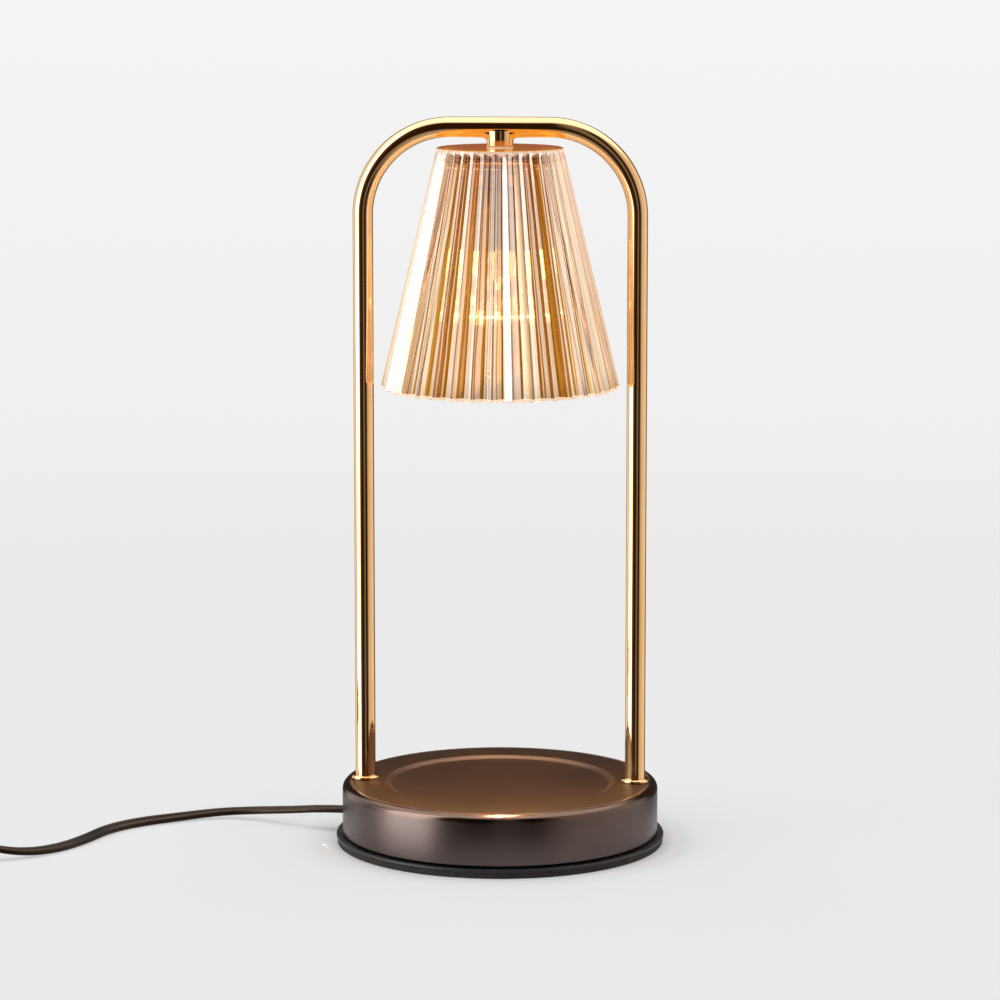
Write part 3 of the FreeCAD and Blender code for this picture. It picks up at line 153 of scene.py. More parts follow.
class Graph:
    """A node tree under way, for a material, the world or a geometry modifier."""

    def __init__(self, tree):
        self.tree = tree
        tree.nodes.clear()

    def add(self, kind, settings=None, sockets=None):
        """Adds a node: its settings first, then the values or links of its sockets."""
        made = self.tree.nodes.new(kind)
        for name, setting in (settings or {}).items():
            if name == "stops":
                self.set_stops(made.color_ramp, setting)
            elif name == "color_ramp.interpolation":
                made.color_ramp.interpolation = setting
            else:
                setattr(made, name, setting)
        for key, item in (sockets or {}).items():
            if isinstance(item, Wire):
                self.tree.links.new(item.socket, made.inputs[key])
            else:
                made.inputs[key].default_value = item
        return made

    def node(self, kind, settings=None, sockets=None, output=0):
        """Adds a node and gives one of its outputs."""
        return Wire(self, self.add(kind, settings, sockets).outputs[output])

    @staticmethod
    def set_stops(ramp, stops):
        while len(ramp.elements) < len(stops):
            ramp.elements.new(1.0)
        for element, (position, colour) in zip(ramp.elements, stops):
            element.position = position
            element.color = opaque(colour)

    def mix(self, factor, first, second, blend="MIX"):
        """Blends two colours, each a link or a plain colour."""
        pair = [c if isinstance(c, Wire) else opaque(c) for c in (first, second)]
        sockets = {0: factor, 6: pair[0], 7: pair[1]}
        settings = {"data_type": "RGBA", "blend_type": blend}
        return self.node("ShaderNodeMix", settings, sockets, output=2)

    def object_point(self, scale=(1.0, 1.0, 1.0), centre=(0.0, 0.0, 0.0)):
        """Object coordinates about a centre given in millimetres."""
        point = self.node("ShaderNodeTexCoord", output="Object")
        shift = tuple(-c * MM * s for c, s in zip(centre, scale))
        sockets = {"Vector": point, "Location": shift, "Scale": scale}
        return self.node("ShaderNodeMapping", None, sockets)

    def parts(self, vector):
        split = self.add("ShaderNodeSeparateXYZ", None, {0: vector})
        return [Wire(self, split.outputs[axis]) for axis in range(3)]

    def angle(self, x, y):
        """The direction of a place about its third axis, in radians."""
        return y.maths("ARCTAN2", y, x)

    def rays(self, *kinds):
        """One mask for each kind of ray named."""
        path = self.add("ShaderNodeLightPath")
        return [Wire(self, path.outputs[f"Is {kind} Ray"]) for kind in kinds]

    def noise(self, vector, scale, detail=3.0, roughness=0.55):
        sockets = {"Vector": vector, "Scale": scale, "Detail": detail, "Roughness": roughness}
        return self.node("ShaderNodeTexNoise", None, sockets)

    def range(self, value, low, high, to_low=0.0, to_high=1.0):
        """A value's place between two limits, held within them."""
        sockets = {0: value, 1: low, 2: high, 3: to_low, 4: to_high}
        return self.node("ShaderNodeMapRange", {"clamp": True}, sockets)

    def ramp(self, factor, stops):
        """Colours that flow into each other."""
        return self.node("ShaderNodeValToRGB", {"stops": stops}, {0: factor})

    def levels(self, factor, stops):
        """Greys that flow into each other."""
        return self.ramp(factor, [(place, (level,) * 3) for place, level in stops])

    def steps(self, factor, tones):
        """Colours that change at once at each stop."""
        settings = {"stops": tones, "color_ramp.interpolation": "CONSTANT"}
        return self.node("ShaderNodeValToRGB", settings, {0: factor})

    def hashed(self, place, seed):
        """An even random value for each whole step of a place."""
        cell = place.maths("FLOOR", place) + seed
        return self.node("ShaderNodeTexWhiteNoise", {"noise_dimensions": "1D"}, {"W": cell})

    def bump(self, height, strength, distance):
        sockets = {"Height": height, "Strength": strength, "Distance": distance}
        return self.node("ShaderNodeBump", None, sockets)


def opaque(colour):
    return tuple(colour) + (1.0,) * (4 - len(colour))


def material(name):
    made = bpy.data.materials.new(name)
    made.use_nodes = True
    return made, Graph(made.node_tree)


def surface(graph, **sockets):
    """Ends a material in one Principled shader; names are its sockets with _ for a space."""
    named = {key.replace("_", " "): item for key, item in sockets.items()}
    for key in ("Base Color", "Emission Color"):
        if key in named and not isinstance(named[key], Wire):
            named[key] = opaque(named[key])
    shader = graph.node("ShaderNodeBsdfPrincipled", None, named)
    graph.add("ShaderNodeOutputMaterial", None, {"Surface": shader})


# ---- finishes

# The shade's facets, as (share of them, colour): their own tint, and the painted light they
# glow with, which stands in for reflections.
FACET_TINTS = (
    (0.0, (0.42, 0.13, 0.005)),
    (0.28, (0.66, 0.26, 0.02)),
    (0.58, (0.92, 0.50, 0.15)),
    (0.66, (0.97, 0.72, 0.44)),
    (0.84, (1.0, 0.88, 0.74)),
)
FACET_PAINTED_LIGHTS = (
    (0.0, (0.03, 0.005, 0.0)),
    (0.28, (0.03, 0.008, 0.0)),
    (0.58, (0.08, 0.03, 0.003)),
    (0.66, (0.30, 0.21, 0.13)),
    (0.84, (1.0, 0.92, 0.82)),
)
# Its glass is cut ever finer, and each cut has a seed for its tones.
FACETS_PER_RIB, STRIPS_PER_RIB, LINES_PER_RIB = 2.0, 6.0, 17.0
FACET_SEED, STRIP_SEED, LINE_SEED = 12295.75, 12296.25, 12296.0
# Its darkening from rim to top, as (share of the height, colour).
SHADE_DEPTH = (
    (0.0, (0.70, 0.58, 0.45)),
    (0.09, (1.0, 1.0, 1.0)),
    (0.50, (1.0, 1.0, 1.0)),
    (0.80, (0.62, 0.36, 0.16)),
    (1.0, (0.50, 0.20, 0.07)),
)
# The share of its neutral lustre, from face-on to edge-on.
LUSTRE_SHARES = ((0.0, 0.12), (0.2, 0.22), (0.5, 0.42), (0.8, 0.70))
# Its bands of painted highlight and its line of painted reflection, in millimetres.
CROWN_BAND, CROWN_SAG, RIM_BAND, LID_SKIN = 1.2, 1.0, 1.5, 0.3
CEILING_LINE, CEILING_LINE_HALF = 305.3, 0.4
# The painted light of its parts: painted highlights, painted reflections, painted shade and a
# painted glow on the closed top.
PAINTED_FLANK_REFLECTION = (1.12, 1.0, 0.90)
PAINTED_HIGHLIGHT_LINE = (0.8, 0.7, 0.55)
PAINTED_HIGHLIGHT_BAND = (0.86, 0.66, 0.54)
PAINTED_CEILING_REFLECTION = (0.8, 0.62, 0.46)
PAINTED_SHOULDER_SHADE = (0.20, 0.05, 0.012)
LID_PAINTED_GLOW_FACE_ON, LID_PAINTED_GLOW_EDGE_ON = (0.90, 0.42, 0.06), (0.33, 0.085, 0.022)
UNLIT = (0.0, 0.0, 0.0)


def make_polished_gold():
    """Bright plated tube: faint drawing lines and slow waviness in the plate."""
    made, g = material("polished_gold")
    point = g.object_point()
    streaks = g.noise(g.object_point((1.0, 1.0, 0.03)), 900.0, 2.0)
    cloud = g.noise(point, 18.0, 3.0)
    colour = g.mix(g.range(cloud, 0.35, 0.65), (0.93, 0.60, 0.29), (0.97, 0.66, 0.35))
    rough = g.range(streaks, 0.3, 0.7, 0.02, 0.05)
    bump = g.bump(g.noise(point, 140.0, 2.0), 0.12, 0.0002)
    surface(g, Base_Color=colour, Metallic=1.0, Roughness=rough, Normal=bump)
    return made


def make_bronze_enamel():
    """Satin bronze-brown metallic enamel with a spray grain and mottling, painted darker on top
    as painted shade, with painted highlights on the rounded edge and the recess rim.
    """
    made, g = material("bronze_enamel")
    point = g.object_point()
    x, y, z = g.parts(point)
    radius = (x * x + y * y).sqrt()
    top = g.range(radius, 68.6 * MM, 66.5 * MM)
    edge = g.range(z, 23.6 * MM, 25.2 * MM) * (1.0 - top)
    rim = g.range(radius, 48.6 * MM, 50.0 * MM) * g.range(radius, 52.4 * MM, 51.0 * MM)
    mottle = g.noise(point, 34.0, 4.0, 0.6)
    grain = g.noise(point, 900.0, 2.0, 0.6)
    cloud = g.range(mottle, 0.3, 0.7)
    side = g.mix(cloud, (0.108, 0.083, 0.079), (0.138, 0.106, 0.100))
    # Painted shade: the top is painted far darker than the side.
    painted_shade_top = g.mix(cloud, (0.011, 0.0068, 0.0047), (0.0150, 0.0094, 0.0067))
    colour = g.mix(top, side, painted_shade_top)
    # A painted highlight on the rounded top edge, which is also smoother.
    colour = g.mix(edge, colour, (0.15, 0.104, 0.086))
    # A painted highlight on the recess rim, which is also smoother.
    colour = g.mix(rim, colour, (0.055, 0.040, 0.034))
    rough = g.range(mottle, 0.3, 0.7, 0.26, 0.31) + top * 0.22 - edge * 0.16 - rim * 0.16
    bump = g.bump(grain, 0.05, 0.0001)
    surface(g, Base_Color=colour, Metallic=1.0, Roughness=rough, Normal=bump)
    return made


def make_foot_enamel():
    """Near-black enamel with paler worn specks."""
    made, g = material("foot_enamel")
    point = g.object_point()
    grain = g.noise(point, 1500.0, 2.0)
    wear = g.noise(point, 160.0, 4.0, 0.65)
    colour = g.mix(g.range(wear, 0.5, 0.75), (0.007, 0.0065, 0.007), (0.03, 0.027, 0.026))
    rough = g.range(wear, 0.3, 0.7, 0.30, 0.48)
    surface(g, Base_Color=colour, Roughness=rough, Normal=g.bump(grain, 0.2, 0.00012))
    return made


def make_foot_rubber():
    """Dark rubber sheet with a torn, granular cut edge."""
    made, g = material("foot_rubber")
    crumbs = g.noise(g.object_point((1.0, 1.0, 1.6)), 620.0, 4.0, 0.7)
    dark, middling, worn = (0.005, 0.004, 0.004), (0.018, 0.012, 0.010), (0.08, 0.05, 0.035)
    colour = g.ramp(crumbs, ((0.3, dark), (0.55, middling), (0.8, worn)))
    surface(g, Base_Color=colour, Roughness=0.72, Normal=g.bump(crumbs, 0.8, 0.0006))
    return made


def make_shade_glass():
    """Amber glass whose facets each glow with a random painted light that stands in for
    reflections, with a neutral lustre outside.
    """
    made, g = material("amber_ribbed_glass")
    point = g.object_point()
    x, y, z = g.parts(point)
    radius = (x * x + y * y).sqrt()
    height = g.range(z, SHADE_BOTTOM * MM, SHADE_TOP * MM)
    top = z > (SHADE_TOP - LID_SKIN) * MM

    # A place on its rib: across is 0 on the crest and 1 in the groove.
    count = g.angle(x, y) * (RIB_COUNT / math.tau) + 0.5
    along = count.fraction()
    across = (along - 0.5).size() * 2
    crease = g.range(across, 0.84, 0.91).most(g.range(across, 0.13, 0.05) * 0.8)

    # The flanks turned away from the lamp's middle, and its left and right sides.
    second, right = along > 0.5, x > 0.0
    away = (second * right).most((1.0 - second) * (1.0 - right)) * g.range(x.size(), 0.0, 0.012)
    aside = g.range(x.size() / radius, 0.66, 0.90)

    # One random value for each facet, strip and line, with slightly wavy borders.
    wander = g.noise(g.object_point((1.0, 1.0, 0.35)), 60.0, 2.0) - 0.5
    facet = g.hashed((count + wander * 0.10) * FACETS_PER_RIB, FACET_SEED)
    facet = facet ** (1.8 - away.most(aside) * 0.8)
    strip = g.hashed((count + wander * 0.25) * STRIPS_PER_RIB, STRIP_SEED)
    line = g.hashed((count + wander * 0.15) * LINES_PER_RIB, LINE_SEED)
    blend = g.range(strip, 0.35, 1.0) * 0.4

    # The painted light on the glass: painted reflections in each facet's tone, with painted
    # shade in the shoulder, at the rim and in the creases.
    painted_light = g.mix(blend, g.steps(facet, FACET_PAINTED_LIGHTS), g.steps(strip, FACET_PAINTED_LIGHTS))
    # Painted highlights: pale lines on a few facets.
    painted_light = g.mix((line < 0.10) * 0.6, painted_light, PAINTED_HIGHLIGHT_LINE)
    # Painted shade in the shoulder under the top.
    shoulder = g.range(z, (SHADE_TOP - 9.0) * MM, (SHADE_TOP - 5.0) * MM)
    painted_light = g.mix(shoulder * 0.7, painted_light, PAINTED_SHOULDER_SHADE)
    # A painted reflection: pale light on the flanks turned away from the middle and on the far
    # sides, stronger higher up.
    pale = away.most(aside * 0.45) * g.range(height, 0.25, 0.75, 0.6, 1.0)
    painted_light = g.mix(pale * 0.85, painted_light, PAINTED_FLANK_REFLECTION)
    # Painted shade: the glow is darker towards the rim.
    dim = g.range(height, 0.0, 0.10, 0.55, 1.0)
    grey = g.node("ShaderNodeCombineColor", None, {0: dim, 1: dim, 2: dim})
    painted_light = g.mix(1.0, painted_light, grey, "MULTIPLY")
    # A painted reflection: a pale line just under the inner ceiling.
    ceiling = (z - CEILING_LINE * MM).size() < CEILING_LINE_HALF * MM
    painted_light = g.mix(ceiling * strip * 0.6, painted_light, PAINTED_CEILING_REFLECTION)
    # Painted shade: no light in the creases.
    painted_light = g.mix(crease, painted_light, UNLIT)
    # Painted highlights: pale bands along the top edge and the rim.
    crown = (SHADE_TOP - CROWN_BAND) * MM - across * across * (CROWN_SAG * MM)
    bands = (z > crown).most(z < (SHADE_BOTTOM + RIM_BAND) * MM)
    painted_light = g.mix(bands * 0.75, painted_light, PAINTED_HIGHLIGHT_BAND)
    facing = g.node("ShaderNodeLayerWeight", None, {"Blend": 0.35}, output="Facing")
    # The closed top's painted glow, brighter seen face-on than edge-on.
    painted_lid_glow = g.mix(g.range(facing, 0.45, 0.85), LID_PAINTED_GLOW_FACE_ON, LID_PAINTED_GLOW_EDGE_ON)
    painted_light = g.mix(top, painted_light, painted_lid_glow)

    # The glass's own tint, deeper towards the top and in the creases.
    tint = g.mix(blend, g.steps(facet, FACET_TINTS), g.steps(strip, FACET_TINTS))
    tint = g.mix((line > 0.86) * 0.7, tint, (0.60, 0.30, 0.08))
    tint = g.mix(1.0 - away.most(aside) * 0.8, tint, g.ramp(height, SHADE_DEPTH), "MULTIPLY")
    tint = g.mix(crease, tint, (0.30, 0.08, 0.0))

    # Only the outer skin has the painted light and the lustre.
    inside = g.node("ShaderNodeNewGeometry", output="Backfacing")
    middle = VALLEY_TOP + SHADE_SLOPE * SHADE_TOP - SHADE_WALL * 0.8
    outer = ((radius + z * SHADE_SLOPE) > middle * MM).most(top) * (1.0 - inside)
    ripple = g.noise(point, 95.0, 2.0, 0.5)
    speck = g.noise(point, 1500.0, 2.0, 0.6)
    bump = g.bump(ripple + g.range(speck, 0.6, 0.8) * 0.25, 0.07, 0.0006)
    glass = g.node("ShaderNodeBsdfPrincipled", None, {
        "Base Color": g.mix(outer, (0.95, 0.73, 0.40), tint),
        "Roughness": 0.01,
        "IOR": 1.5,
        "Specular IOR Level": 0.1,
        "Transmission Weight": 1.0,
        "Normal": bump,
        "Emission Color": g.mix(outer, UNLIT, painted_light),
        "Emission Strength": 1.0,
    })
    lustre = g.node("ShaderNodeBsdfPrincipled", None, {
        "Base Color": opaque((1.0, 0.91, 0.83)),
        "Metallic": 1.0,
        "Roughness": 0.03,
        "Normal": bump,
    })
    keen = g.range(facet, 0.50, 0.80, 0.16, 1.4) * g.range(height, 0.80, 0.92, 1.0, 0.5)
    keen = keen * outer * (1.0 - top * 0.6) * (1.0 - crease * 0.95)
    share = (g.levels(facing, LUSTRE_SHARES) * keen).least(0.55)
    skin = g.node("ShaderNodeMixShader", None, {0: share, 1: glass, 2: lustre})
    g.add("ShaderNodeOutputMaterial", None, {"Surface": skin})
    return made


def make_reflector_glass():
    """Thin faceted reflector glass: lit patches where the facets throw the light out."""
    made, g = material("lit_reflector")
    x, y, z = g.parts(g.object_point((1.0, 1.0, 1.0), (0.0, 0.0, BULB_FACE)))
    columns, rows_per_metre = 48, 330.0
    column = g.angle(x, y) * (columns / math.tau)
    row = z * rows_per_metre
    facets = (column.fraction() - 0.5).size() * 2
    rings = (row.fraction() - 0.5).size() * 2
    cell = g.node("ShaderNodeCombineXYZ", None, {
        0: column.maths("FLOOR", column),
        1: row.maths("FLOOR", row),
        2: 0.5,
    })
    patch = g.node("ShaderNodeTexWhiteNoise", {"noise_dimensions": "3D"}, {"Vector": cell})
    rim = (z > 0.0030) * (z < 0.0041)
    height = g.range(z, 0.004, 0.045, 1.0, 0.0)
    level = (g.range(patch, 0.72, 0.97) * height * 0.5 + rim * 0.8).least(1.0)
    surface(
        g,
        Base_Color=(0.98, 0.90, 0.74),
        Roughness=0.12,
        IOR=1.45,
        Transmission_Weight=0.85,
        Normal=g.bump(facets.least(rings), 0.5, 0.0006),
        Emission_Color=g.mix(level, (0.02, 0.015, 0.01), (0.75, 0.95, 1.3)),
        Emission_Strength=1.6,
    )
    return made


def make_plain(
    name, colour, other, roughness, metallic=0.0, scale=240.0, grain=0.15, depth=0.0001, **more
):
    """A moulded, pressed or blown finish: two close colours and a fine surface grain."""
    made, g = material(name)
    point = g.object_point()
    cloud = g.noise(point, scale * 0.25, 3.0)
    fine = g.noise(point, scale * 6.0, 2.0)
    mixed = g.mix(g.range(cloud, 0.35, 0.65), colour, other)
    rough = g.range(cloud, 0.3, 0.7, roughness * 0.85, min(1.0, roughness * 1.15))
    bump = g.bump(fine, grain, depth)
    surface(g, Base_Color=mixed, Metallic=metallic, Roughness=rough, Normal=bump, **more)
    return made


GOLD = make_polished_gold()
BRONZE = make_bronze_enamel()
FOOT = make_foot_enamel()
RUBBER_SHEET = make_foot_rubber()
SHADE_GLASS = make_shade_glass()
REFLECTOR = make_reflector_glass()
STEEL = make_plain("zinc_steel", (0.55, 0.54, 0.52), (0.66, 0.65, 0.62), 0.30, 1.0)
IRON = make_plain(
    "raw_iron", (0.12, 0.12, 0.125), (0.20, 0.19, 0.19), 0.7, 0.6, grain=0.6, depth=0.0004
)
BRASS = make_plain("bright_brass", (0.80, 0.58, 0.26), (0.88, 0.66, 0.33), 0.22, 1.0)
CERAMIC = make_plain("bare_ceramic", (0.78, 0.74, 0.66), (0.86, 0.82, 0.74), 0.55, grain=0.3)
SILICONE = make_plain("clear_silicone", (0.86, 0.78, 0.68), (0.93, 0.86, 0.76), 0.35)
BLACK_RUBBER = make_plain("black_rubber", (0.014, 0.013, 0.013), (0.024, 0.022, 0.021), 0.55)
CORD_JACKET = make_plain(
    "cord_jacket", (0.003, 0.002, 0.0015), (0.007, 0.0045, 0.003), 0.30, grain=0.1,
    Specular_IOR_Level=0.4, Specular_Tint=(1.0, 0.66, 0.48, 1.0),
)
DIMMER_CASE = make_plain(
    "moulded_case", (0.018, 0.018, 0.019), (0.028, 0.028, 0.029), 0.42, grain=0.5, scale=420
)
WHEEL = make_plain("thumb_wheel", (0.035, 0.035, 0.037), (0.05, 0.05, 0.052), 0.5, grain=0.4)
TIE = make_plain(
    "tie_strip", (0.02, 0.02, 0.021), (0.035, 0.035, 0.036), 0.6, grain=0.7, scale=380
)
BOARD = make_plain("circuit_board", (0.03, 0.15, 0.06), (0.04, 0.20, 0.08), 0.35)
COMPONENT = make_plain("component_case", (0.02, 0.02, 0.024), (0.03, 0.03, 0.034), 0.3)
FILM = make_plain("film_capacitor", (0.55, 0.38, 0.06), (0.62, 0.45, 0.10), 0.25)
INSULATION = make_plain("wire_insulation", (0.70, 0.66, 0.58), (0.78, 0.74, 0.66), 0.4)
SPLICE = make_plain("splice_cap", (0.60, 0.60, 0.56), (0.68, 0.68, 0.64), 0.4)
FRONT_GLASS = make_plain(
    "bulb_front_glass", (0.98, 0.96, 0.92), (1.0, 0.98, 0.95), 0.03, grain=0.05,
    Transmission_Weight=1.0, IOR=1.5, Emission_Color=(1.0, 0.90, 0.75), Emission_Strength=0.15,
)
CAPSULE_GLASS = make_plain(
    "capsule_glass", (0.98, 0.96, 0.92), (1.0, 0.98, 0.95), 0.03, grain=0.05,
    Transmission_Weight=1.0, IOR=1.45, Emission_Color=(1.0, 0.86, 0.62), Emission_Strength=1.2,
)
FILAMENT = make_plain(
    "glowing_filament", (1.0, 0.8, 0.5), (1.0, 0.85, 0.6), 0.5, 0.5,
    Emission_Color=(1.0, 0.78, 0.46), Emission_Strength=6.0,
)


# ---- meshes


def placed(name, data):
    """A new object in the scene."""
    obj = bpy.data.objects.new(name, data)
    bpy.context.scene.collection.objects.link(obj)
    return obj


def dress(mesh, name, finish, body="lamp"):
    """Closes a mesh's seams, smooths it and makes it a piece that rides on a body."""
    shell = bmesh.new()
    shell.from_mesh(mesh)
    bmesh.ops.remove_doubles(shell, verts=shell.verts, dist=MERGE_DISTANCE)
    bmesh.ops.recalc_face_normals(shell, faces=shell.faces)
    shell.to_mesh(mesh)
    shell.free()
    mesh.shade_smooth()
    mesh.set_sharp_from_angle(angle=SMOOTH_ANGLE)
    mesh.materials.clear()
    mesh.materials.append(finish)
    obj = placed(name, mesh)
    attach(obj, body)
    return obj


def piece(name, points, faces, finish, body="lamp"):
    """A closed mesh from points in millimetres, riding on a body."""
    mesh = bpy.data.meshes.new(name)
    mesh.from_pydata([tuple(c * MM for c in p) for p in points], [], faces)
    mesh.update()
    return dress(mesh, name, finish, body)


def rounded(corners, steps=6):
    """A closed outline of (r, z) or (r, z, radius) corners with its radii rounded."""
    outline = []
    count = len(corners)
    for index, corner in enumerate(corners):
        here = Vector(corner[:2])
        radius = corner[2] if len(corner) == 3 else 0.0
        if not radius:
            outline.append(here)
            continue
        back = (Vector(corners[index - 1][:2]) - here).normalized()
        ahead = (Vector(corners[(index + 1) % count][:2]) - here).normalized()
        half = back.angle(ahead) / 2
        reach = radius / math.tan(half)
        centre = here + (back + ahead).normalized() * (radius / math.sin(half))
        start = here + back * reach - centre
        end = here + ahead * reach - centre
        sweep = start.angle(end)
        side = 1.0 if start.x * end.y > start.y * end.x else -1.0
        for step in range(steps + 1):
            turn = Matrix.Rotation(side * sweep * step / steps, 2)
            outline.append(centre + turn @ start)
    return outline


def turned(name, corners, finish, body="lamp", x=0.0, segments=96, steps=6):
    """A piece turned about a vertical axis at x from a closed outline."""
    outline = rounded(corners, steps)
    points, rings = [], []
    for r, z in outline:
        if r < 1e-6:
            rings.append([len(points)] * segments)
            points.append((x, 0.0, z))
            continue
        ring = []
        for step in range(segments):
            turn = math.tau * step / segments
            ring.append(len(points))
            points.append((x + r * math.cos(turn), r * math.sin(turn), z))
        rings.append(ring)
    faces = []
    for ring, following in zip(rings, rings[1:] + rings[:1]):
        for step in range(segments):
            after = (step + 1) % segments
            corners_of_face = [ring[step], ring[after], following[after], following[step]]
            face = list(dict.fromkeys(corners_of_face))
            if len(face) > 2:
                faces.append(face)
    return piece(name, points, faces, finish, body)


def swept(name, sections, finish):
    """A closed tube through its sections, each a ring of as many points."""
    points = [point for section in sections for point in section]
    size = len(sections[0])
    faces = []
    for ring in range(len(sections) - 1):
        for step in range(size):
            after = (step + 1) % size
            low, high = ring * size, (ring + 1) * size
            faces.append([low + step, low + after, high + after, high + step])
    faces.append(list(reversed(range(size))))
    last = (len(sections) - 1) * size
    faces.append([last + step for step in range(size)])
    return piece(name, points, faces, finish)


# ---- base and arch


def make_base():
    """The pressed shell with its recess, and the foot's plate."""
    inner, bend = SHELL_RADIUS - SHELL_WALL, 1.2
    shell = turned(
        "base_shell_formed",
        [
            (inner, SHELL_FOOT),
            (SHELL_RADIUS, SHELL_FOOT, 0.35),
            (SHELL_RADIUS, SHELL_TOP, SHELL_EDGE),
            (RECESS_RIM, SHELL_TOP, bend),
            (RECESS_EDGE, RECESS_FLOOR, bend),
            (0.0, RECESS_FLOOR),
            (0.0, RECESS_FLOOR - SHELL_WALL),
            (RECESS_EDGE, RECESS_FLOOR - SHELL_WALL, bend),
            (RECESS_RIM, SHELL_TOP - SHELL_WALL, bend),
            (inner, SHELL_TOP - SHELL_WALL, SHELL_EDGE - SHELL_WALL),
        ],
        BRONZE,
        segments=192,
        steps=8,
    )
    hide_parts("base_shell")
    plate = turned(
        "foot_plate",
        [
            (0.0, PAD_TOP),
            (PLATE_RADIUS, PAD_TOP, 0.3),
            (PLATE_RADIUS, PLATE_TOP, 0.6),
            (SHELL_RADIUS - 1.0, PLATE_TOP),
            (0.0, PLATE_TOP),
        ],
        FOOT,
        segments=192,
    )
    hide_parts("base_plate")


def arch_line():
    """The arch's centre line with the direction across it, from the left foot to the right."""
    line = [(Vector((-LEG_X, 0, SHELL_TOP)), Vector((1, 0, 0)))]
    centre = Vector((-LEG_X + TUBE_BEND, 0, BAR_Z - TUBE_BEND))
    steps = 28
    for step in range(steps + 1):
        turn = math.pi / 2 * step / steps
        inward = Vector((math.cos(turn), 0, -math.sin(turn)))
        line.append((centre - inward * TUBE_BEND, inward))
    mirrored = [(Vector((-p.x, 0, p.z)), Vector((-d.x, 0, d.z))) for p, d in reversed(line)]
    return line + mirrored


def make_arch():
    """The bent tube, with a collar at the foot of each leg."""
    sides = 48
    sections = []
    for centre, inward in arch_line():
        ring = []
        for step in range(sides):
            turn = math.tau * step / sides
            offset = inward * math.cos(turn) + Vector((0, 1, 0)) * math.sin(turn)
            ring.append(tuple(centre + offset * TUBE_RADIUS))
        sections.append(ring)
    arch = swept("arch_tube_drawn", sections, GOLD)
    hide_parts("arch_tube")
    for side, x in (("left", -LEG_X), ("right", LEG_X)):
        collar = turned(
            f"{side}_collar_turned",
            [
                (TUBE_RADIUS, SHELL_TOP),
                (COLLAR_RADIUS, SHELL_TOP, 0.3),
                (COLLAR_RADIUS, SHELL_TOP + COLLAR_HEIGHT, 1.0),
                (TUBE_RADIUS, SHELL_TOP + COLLAR_HEIGHT),
            ],
            GOLD,
            x=x,
            segments=64,
        )
        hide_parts(f"{side}_collar")


def make_stem():
    """The post between the bar and the shade."""
    stem = turned(
        "stem_turned",
        [
            (0.0, STEM_FOOT),
            (STEM_RADIUS, STEM_FOOT, 0.5),
            (STEM_RADIUS, BAR_Z - STEM_SINK),
            (0.0, BAR_Z - STEM_SINK),
        ],
        GOLD,
        segments=96,
    )
    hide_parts("stem")
    make_saddle()


def make_saddle():
    """A thin sleeve under the bar that flares into the stem."""
    reach, wrap, columns, rows = 12.2, math.radians(62), 64, 20
    sunk, edge, flare, flare_reach, overlap = 0.05, 0.32, 1.3, 2.0, 0.2
    points, faces = [], []
    for skin in (0, 1):
        for column in range(columns + 1):
            x = reach * (2 * column / columns - 1)
            clear = max(0.0, abs(x) - STEM_RADIUS + overlap)
            thick = edge * (1 - abs(x) / reach) ** 0.5
            thick += flare * max(0.0, 1 - clear / flare_reach) ** 2
            for row in range(rows + 1):
                turn = wrap * (2 * row / rows - 1)
                fade = math.cos(math.pi / 2 * turn / wrap) ** 0.5
                radius = TUBE_RADIUS - sunk + (sunk + thick * fade if skin else 0.0)
                points.append((x, radius * math.sin(turn), BAR_Z - radius * math.cos(turn)))
    width = rows + 1
    count = (columns + 1) * width
    for column in range(columns):
        for row in range(rows):
            near = column * width + row
            quad = [near, near + 1, near + width + 1, near + width]
            faces.append(quad)
            faces.append([index + count for index in reversed(quad)])
    border = [column * width for column in range(columns)]
    border += [columns * width + row for row in range(rows)]
    border += [column * width + rows for column in range(columns, 0, -1)]
    border += list(range(rows, 0, -1))
    for here, following in zip(border, border[1:] + border[:1]):
        faces.append([here, following, following + count, here + count])
    piece("stem_saddle", points, faces, GOLD)


# ---- shade


def valley_radius(z):
    """The outer radius in the grooves at a height."""
    return VALLEY_TOP + SHADE_SLOPE * (SHADE_TOP - z)


def shade_profile():
    """The shade's closed outline without ribs, with rows added where the ribs need them."""
    edge, rim, corner = 0.6, 0.9, 3.0
    corners = rounded(
        [
            (NIPPLE_HOLE, SHADE_TOP),
            (NIPPLE_HOLE, SHADE_CEILING),
            (valley_radius(SHADE_CEILING) - SHADE_WALL, SHADE_CEILING, corner),
            (VALLEY_BOTTOM - SHADE_WALL, SHADE_BOTTOM, rim),
            (VALLEY_BOTTOM, SHADE_BOTTOM, rim),
            (VALLEY_TOP, SHADE_TOP, edge),
        ],
        steps=7,
    )
    wall_length, top_zone = 40, 6.0
    top_shares = (1.0, 0.85, 0.7, 0.55, 0.4, 0.3, 0.2, 0.1)
    outline = []
    for here, following in zip(corners, corners[1:] + corners[:1]):
        outline.append(here)
        gap = following - here
        if gap.length > wall_length and gap.y > 0:
            top_rows = [1 - share * top_zone / gap.length for share in top_shares]
            levels = [step / 10 for step in range(1, 10)]
            levels = [level for level in levels if level < top_rows[0]] + top_rows
            outline += [here + gap * level for level in levels]
        elif gap.length > wall_length:
            outline += [here + gap * step / 10 for step in range(1, 10)]
    return outline


